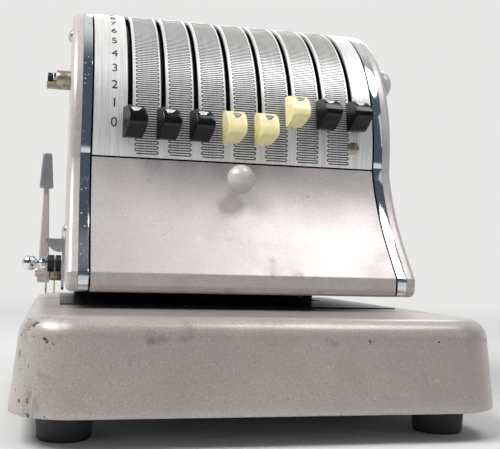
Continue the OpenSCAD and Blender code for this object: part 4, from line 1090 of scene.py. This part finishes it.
def arm_form():
    """A hub circle and two straight sides that narrow to the grip, and a block that steps out to the grip."""
    hub = 11.0
    outline = chain(arc((0, 0), hub, -88, 88, 30), line((0, hub), (TANG_Y, 6)), line((TANG_Y, 6), (TANG_Y, -6)))
    arm = plate(outline, HANDLE_X, HANDLE_X + ARM_T, [bore_loop((0, 0), 6.0, 36)])
    return joined(arm, prism(rounded_rect(2.4, 4.9, 0.8, 4) + [TANG_Y + 2.5, 0], HANDLE_X + ARM_T - 0.4, GRIP_X + 1.6))


piece("pull_grip", at_handle(grip_form()), "handle", PEARL, "handle_grip", sharp=50)
piece("pull_arm", at_handle(arm_form()), "handle", NICKEL, "handle_arm", bevel=0.7)


# ---- Side controls on the left ----
def guide_rod_form():
    """Turned rod with a collar, a neck and a ball on its end; the height is the distance from the frame."""
    ball = OUTER_X + 24 - BALL_R - FRAME_X
    c0, c1 = STOP_X + 1.1 - FRAME_X, STOP_X + 3.7 - FRAME_X
    profile = chain(line((0, 0), (GUIDE_R, 0)), line((GUIDE_R, 0), (GUIDE_R, c0)), line((3.5, c0), (3.9, c0 + 0.4)),
                    line((3.9, c1 - 0.4), (3.5, c1)), line((2.0, c1), (1.8, c1 + 1)),
                    line((1.8, c1 + 1), (1.8, ball - 4.0)), arc((0, ball), BALL_R, -64, 90, 24))
    profile[-1, 0] = 0
    return placed(turned(profile, 40), (0, -90, 0), (-FRAME_X, GUIDE_Y, GUIDE_Z))


def at_guide(path):
    """A path moved to the guide rod's middle."""
    return np.asarray(path, float) + [GUIDE_Y, GUIDE_Z]


bore = at_guide(bore_loop((0, 0), GUIDE_R + 0.05))
stop_outline = chain(arc((0, 0), 5.5, 0, 180, 20), arc((-3.5, -15), 2, 180, 270, 6), arc((8.5, -15), 2, 270, 360, 6),
                     arc((9.5, -7), 1, 0, 60, 4))
piece("guide_shaft", guide_rod_form(), "root", CHROME, "guide_rod", sharp=40)
piece("stop_plate", plate(at_guide(stop_outline), -STOP_X - 1, -STOP_X, [bore]), "check_guide", NICKEL,
      "check_stop", bevel=0.25)
leaf_x = OUTER_X + 5
leaf = plate(at_guide(rounded_rect(4, 10.5, 1.5, 5) - [0, 6.5]), -leaf_x - 0.6, -leaf_x, [bore])
spacers = [plate(at_guide(bore_loop((0, 0), 4.9, 40)), -x1, -x0, [bore])
           for x0, x1 in ((OUTER_X + 1.9, leaf_x - 0.1), (leaf_x + 0.7, STOP_X - 0.1))]
piece("guide_leaf_strip", leaf, "check_guide", BRASS, "guide_leaf", bevel=0.2)
piece("guide_spacers", joined(*spacers), "check_guide", BLACK_STEEL, "guide_leaf", bevel=0.2)
bracket = plate(at_guide(rounded_rect(5, 16.5, 1.6, 6) + [0, 1.5]), -OUTER_X - 1.6, -OUTER_X,
                [at_guide(bore_loop((0, 0), GUIDE_R + 0.2))])
hook = np.array([[1.6, -6.2], [3.6, -6.6], [6.8, -5.4], [9.6, -2.6], [10.8, -0.4], [11, 0.8], [10.4, 1.4], [1.6, 1.4]])
hook_points = [np.column_stack([-OUTER_X - hook[:, 0], np.full(len(hook), GUIDE_Y - 1 + d),
                                GUIDE_Z + 13 + hook[:, 1]]) for d in (-2, 2)]
piece("guide_plate", joined(bracket, skin(hook_points)), "root", NICKEL, "guide_bracket", bevel=0.3)

LEVER_X0 = OUTER_X + 8.6


def box_rings(stations):
    """Rounded rectangles at given heights: each station is height, half width in x, half depth in y."""
    return np.stack([np.column_stack([rounded_rect(hx, hy, min(hx, hy) * 0.45, 5) + [-LEVER_X0 - 3.5, PADDLE_Y],
                                      np.full(20, PADDLE_Z + z)]) for z, hx, hy in stations])


post = skin(box_rings([(0, 3.2, 5.2), (4, 3.2, 5.1), (30, 2.3, 3.6), (54.4, 1.5, 2.4)]))
paddle = skin(box_rings([(51.6, 3.7, 5.6), (52.2, 4.1, 6.0), (72.0, 2.75, 4.1), (72.8, 2.3, 3.6)]))
hub = plate(bore_loop((PADDLE_Y, PADDLE_Z), 6.4, 40), -LEVER_X0 - 7, -LEVER_X0,
            [bore_loop((PADDLE_Y, PADDLE_Z), 3.05)])
piece("paddle_lever", joined(post, hub), "side_lever", TAUPE, "side_lever", bevel=0.5)
piece("paddle_cap", paddle, "side_lever", PADDLE_STEEL, "side_lever", bevel=0.5)

studs = [rod(-FRAME_X, -LEVER_X0 - 8.4, 3, PADDLE_Y, PADDLE_Z), rod(-OUTER_X, -LEVER_X0 + 0.2, 5, PADDLE_Y, PADDLE_Z),
         rod(-FRAME_X, -OUTER_X - 12, 3, STUD_Y, STUD_Z), rod(-OUTER_X, -OUTER_X - 8.6, 6, STUD_Y, STUD_Z, 48)]
lip = strip(arc((STUD_Y, STUD_Z), 6.0, 205, 335, 24), 1.1)
studs.append(prism(lip, -OUTER_X - 14.4, -OUTER_X - 8.3))
piece("side_posts", joined(*studs), "root", AGED_NICKEL, "side_stud")
nut = plate(arc((STUD_Y, STUD_Z), 4.6, 0, 300, 6), -OUTER_X - 10.6, -OUTER_X - 8.4,
            [bore_loop((STUD_Y, STUD_Z), 3.0)])
piece("stud_nut", nut, "root", NICKEL, bevel=0.3)
piece("stud_disc", rod(-OUTER_X - 11, -OUTER_X - 14, 4.2, STUD_Y, STUD_Z, 40), "root", BLACK_STEEL)

# ---- Finishes of the nodes that stay as they are ----
CARRIED = {
    # the bed plate's dark enamel also stands for painted shade and a painted dark reflection under the head
    "bottom_plate": CROSS_STEEL, "bed_plate": DARK_PAINT, "foot_screws": NICKEL, "platen_guides": STEEL,
    "rear_column": DARK_PAINT, "column_screws": NICKEL, "side_frame_left": BLACK_STEEL, "side_frame_right": BLACK_STEEL,
    "head_floor": DARK_PAINT, "lever_shaft": STEEL, "lever_spacers": BLACK_STEEL, "detent_bar": BLACK_STEEL,
    "detent_plungers": BRASS, "shaft_bushings": BRASS, "return_spring": BLACK_STEEL, "roller_shaft": STEEL,
    "ink_roller": RUBBER, "cover_pins": STEEL, "platen_yoke": CROSS_STEEL, "pull_rods": CROSS_STEEL,
    "platen_pad": RUBBER, "main_shaft": STEEL}
CARRIED.update({f"type_lever_{k}": LEVER_STEEL for k in range(1, 9)})
for name, finish in CARRIED.items():
    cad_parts[name].data.materials.clear()
    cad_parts[name].data.materials.append(finish)

# ---- Floor, light and camera ----
BACKDROP = srgb(232, 232, 231)
floor_mesh = bpy.data.meshes.new("floor")
side = 9.0
floor_mesh.from_pydata([(-side, -side, 0), (side, -side, 0), (side, side, 0), (-side, side, 0)], [], [(0, 1, 2, 3)])
floor = bpy.data.objects.new("floor", floor_mesh)
bpy.context.scene.collection.objects.link(floor)
pale = Finish("pale_floor", Roughness=0.7)
grain = pale.between(pale.noise(pale.vector, 3.0, 3.0), 0.3, 0.7)
pale.set(Base_Color=pale.mix(grain, srgb(230, 230, 229), srgb(234, 234, 233)))
distance = pale.add("ShaderNodeVectorMath", {0: pale.vector}, operation="LENGTH").outputs["Value"]
ray = pale.add("ShaderNodeLightPath").outputs
shown = pale.calc("MAXIMUM", pale.calc("MAXIMUM", ray["Is Camera Ray"], ray["Is Glossy Ray"]),
                  ray["Is Transmission Ray"])
far = pale.add("ShaderNodeEmission", {"Color": BACKDROP, "Strength": 1.0}).outputs[0]
fade = pale.calc("MULTIPLY", pale.between(distance, 0.3, 1.3), shown)
mixed = pale.add("ShaderNodeMixShader", {0: fade, 1: pale.shader.outputs[0], 2: far}).outputs[0]
pale.feed(pale.tree.nodes["Material Output"].inputs["Surface"], mixed)
floor_mesh.materials.append(pale.material)

world = bpy.data.worlds.new("studio")
bpy.context.scene.world = world
world.use_nodes = True
sky = Nodes(world.node_tree)
sky.tree.nodes.clear()
path = sky.add("ShaderNodeLightPath").outputs
seen = sky.calc("MAXIMUM", path["Is Camera Ray"], path["Is Transmission Ray"])
direction = sky.add("ShaderNodeSeparateXYZ", {0: sky.add("ShaderNodeTexCoord").outputs["Generated"]}).outputs
behind = sky.between(direction["Y"], -0.35, 0.45)
mirror_colour = sky.mix(behind, (0.08, 0.093, 0.12, 1), (0.8, 0.8, 0.8, 1))
soft = sky.add("ShaderNodeBackground", {"Color": (0.93, 0.96, 1.0, 1), "Strength": 0.27}).outputs[0]
mirror = sky.add("ShaderNodeBackground", {"Color": mirror_colour, "Strength": 1.0}).outputs[0]
backdrop = sky.add("ShaderNodeBackground", {"Color": BACKDROP, "Strength": 1.0}).outputs[0]
for_gloss = sky.add("ShaderNodeMixShader", {0: path["Is Glossy Ray"], 1: soft, 2: mirror}).outputs[0]
both = sky.add("ShaderNodeMixShader", {0: seen, 1: for_gloss, 2: backdrop}).outputs[0]
sky.feed(sky.add("ShaderNodeOutputWorld").inputs["Surface"], both)


def softbox(name, at, target, size, power, colour=(1, 1, 1)):
    """An area lamp of size metres that faces a target point."""
    data = bpy.data.lights.new(name, "AREA")
    data.shape, data.size, data.size_y, data.energy, data.color = "RECTANGLE", size[0], size[1], power, colour
    lamp = bpy.data.objects.new(name, data)
    lamp.location = at
    lamp.rotation_euler = (Vector(target) - Vector(at)).to_track_quat("-Z", "Y").to_euler()
    bpy.context.scene.collection.objects.link(lamp)


softbox("key_light", (-0.74, -0.30, 1.12), (0, 0, 0.12), (0.8, 0.6), 15.0, (1, 0.995, 0.985))
softbox("fill_light", (0.9, -0.9, 0.7), (0, 0, 0.1), (0.6, 0.6), 0.6)
softbox("top_light", (0.42, -0.32, 1.16), (0.03, -0.05, 0.1), (0.45, 0.45), 3.4)
softbox("back_light", (0.4, 1.1, 0.9), (0, 0, 0.15), (0.9, 0.4), 3.0)

camera_data = bpy.data.cameras.new("camera")
PHOTO_WIDTH, FOCAL_PIXELS, SENSOR = 500, 826.6, 36.0
camera_data.sensor_width, camera_data.lens = SENSOR, FOCAL_PIXELS * SENSOR / PHOTO_WIDTH
camera = bpy.data.objects.new("camera", camera_data)
right, down, forward = (0.97379, -0.22589, 0.02652), (0.03624, 0.03898, -0.99858), (0.22454, 0.97337, 0.04615)
camera.matrix_world = Matrix((
    (right[0], -down[0], -forward[0], -0.0916),
    (right[1], -down[1], -forward[1], -0.4661),
    (right[2], -down[2], -forward[2], 0.0770),
    (0, 0, 0, 1)))
bpy.context.scene.collection.objects.link(camera)
bpy.context.scene.camera = camera
bpy.context.scene.view_settings.view_transform = "Standard"

bpy.context.view_layer.update()
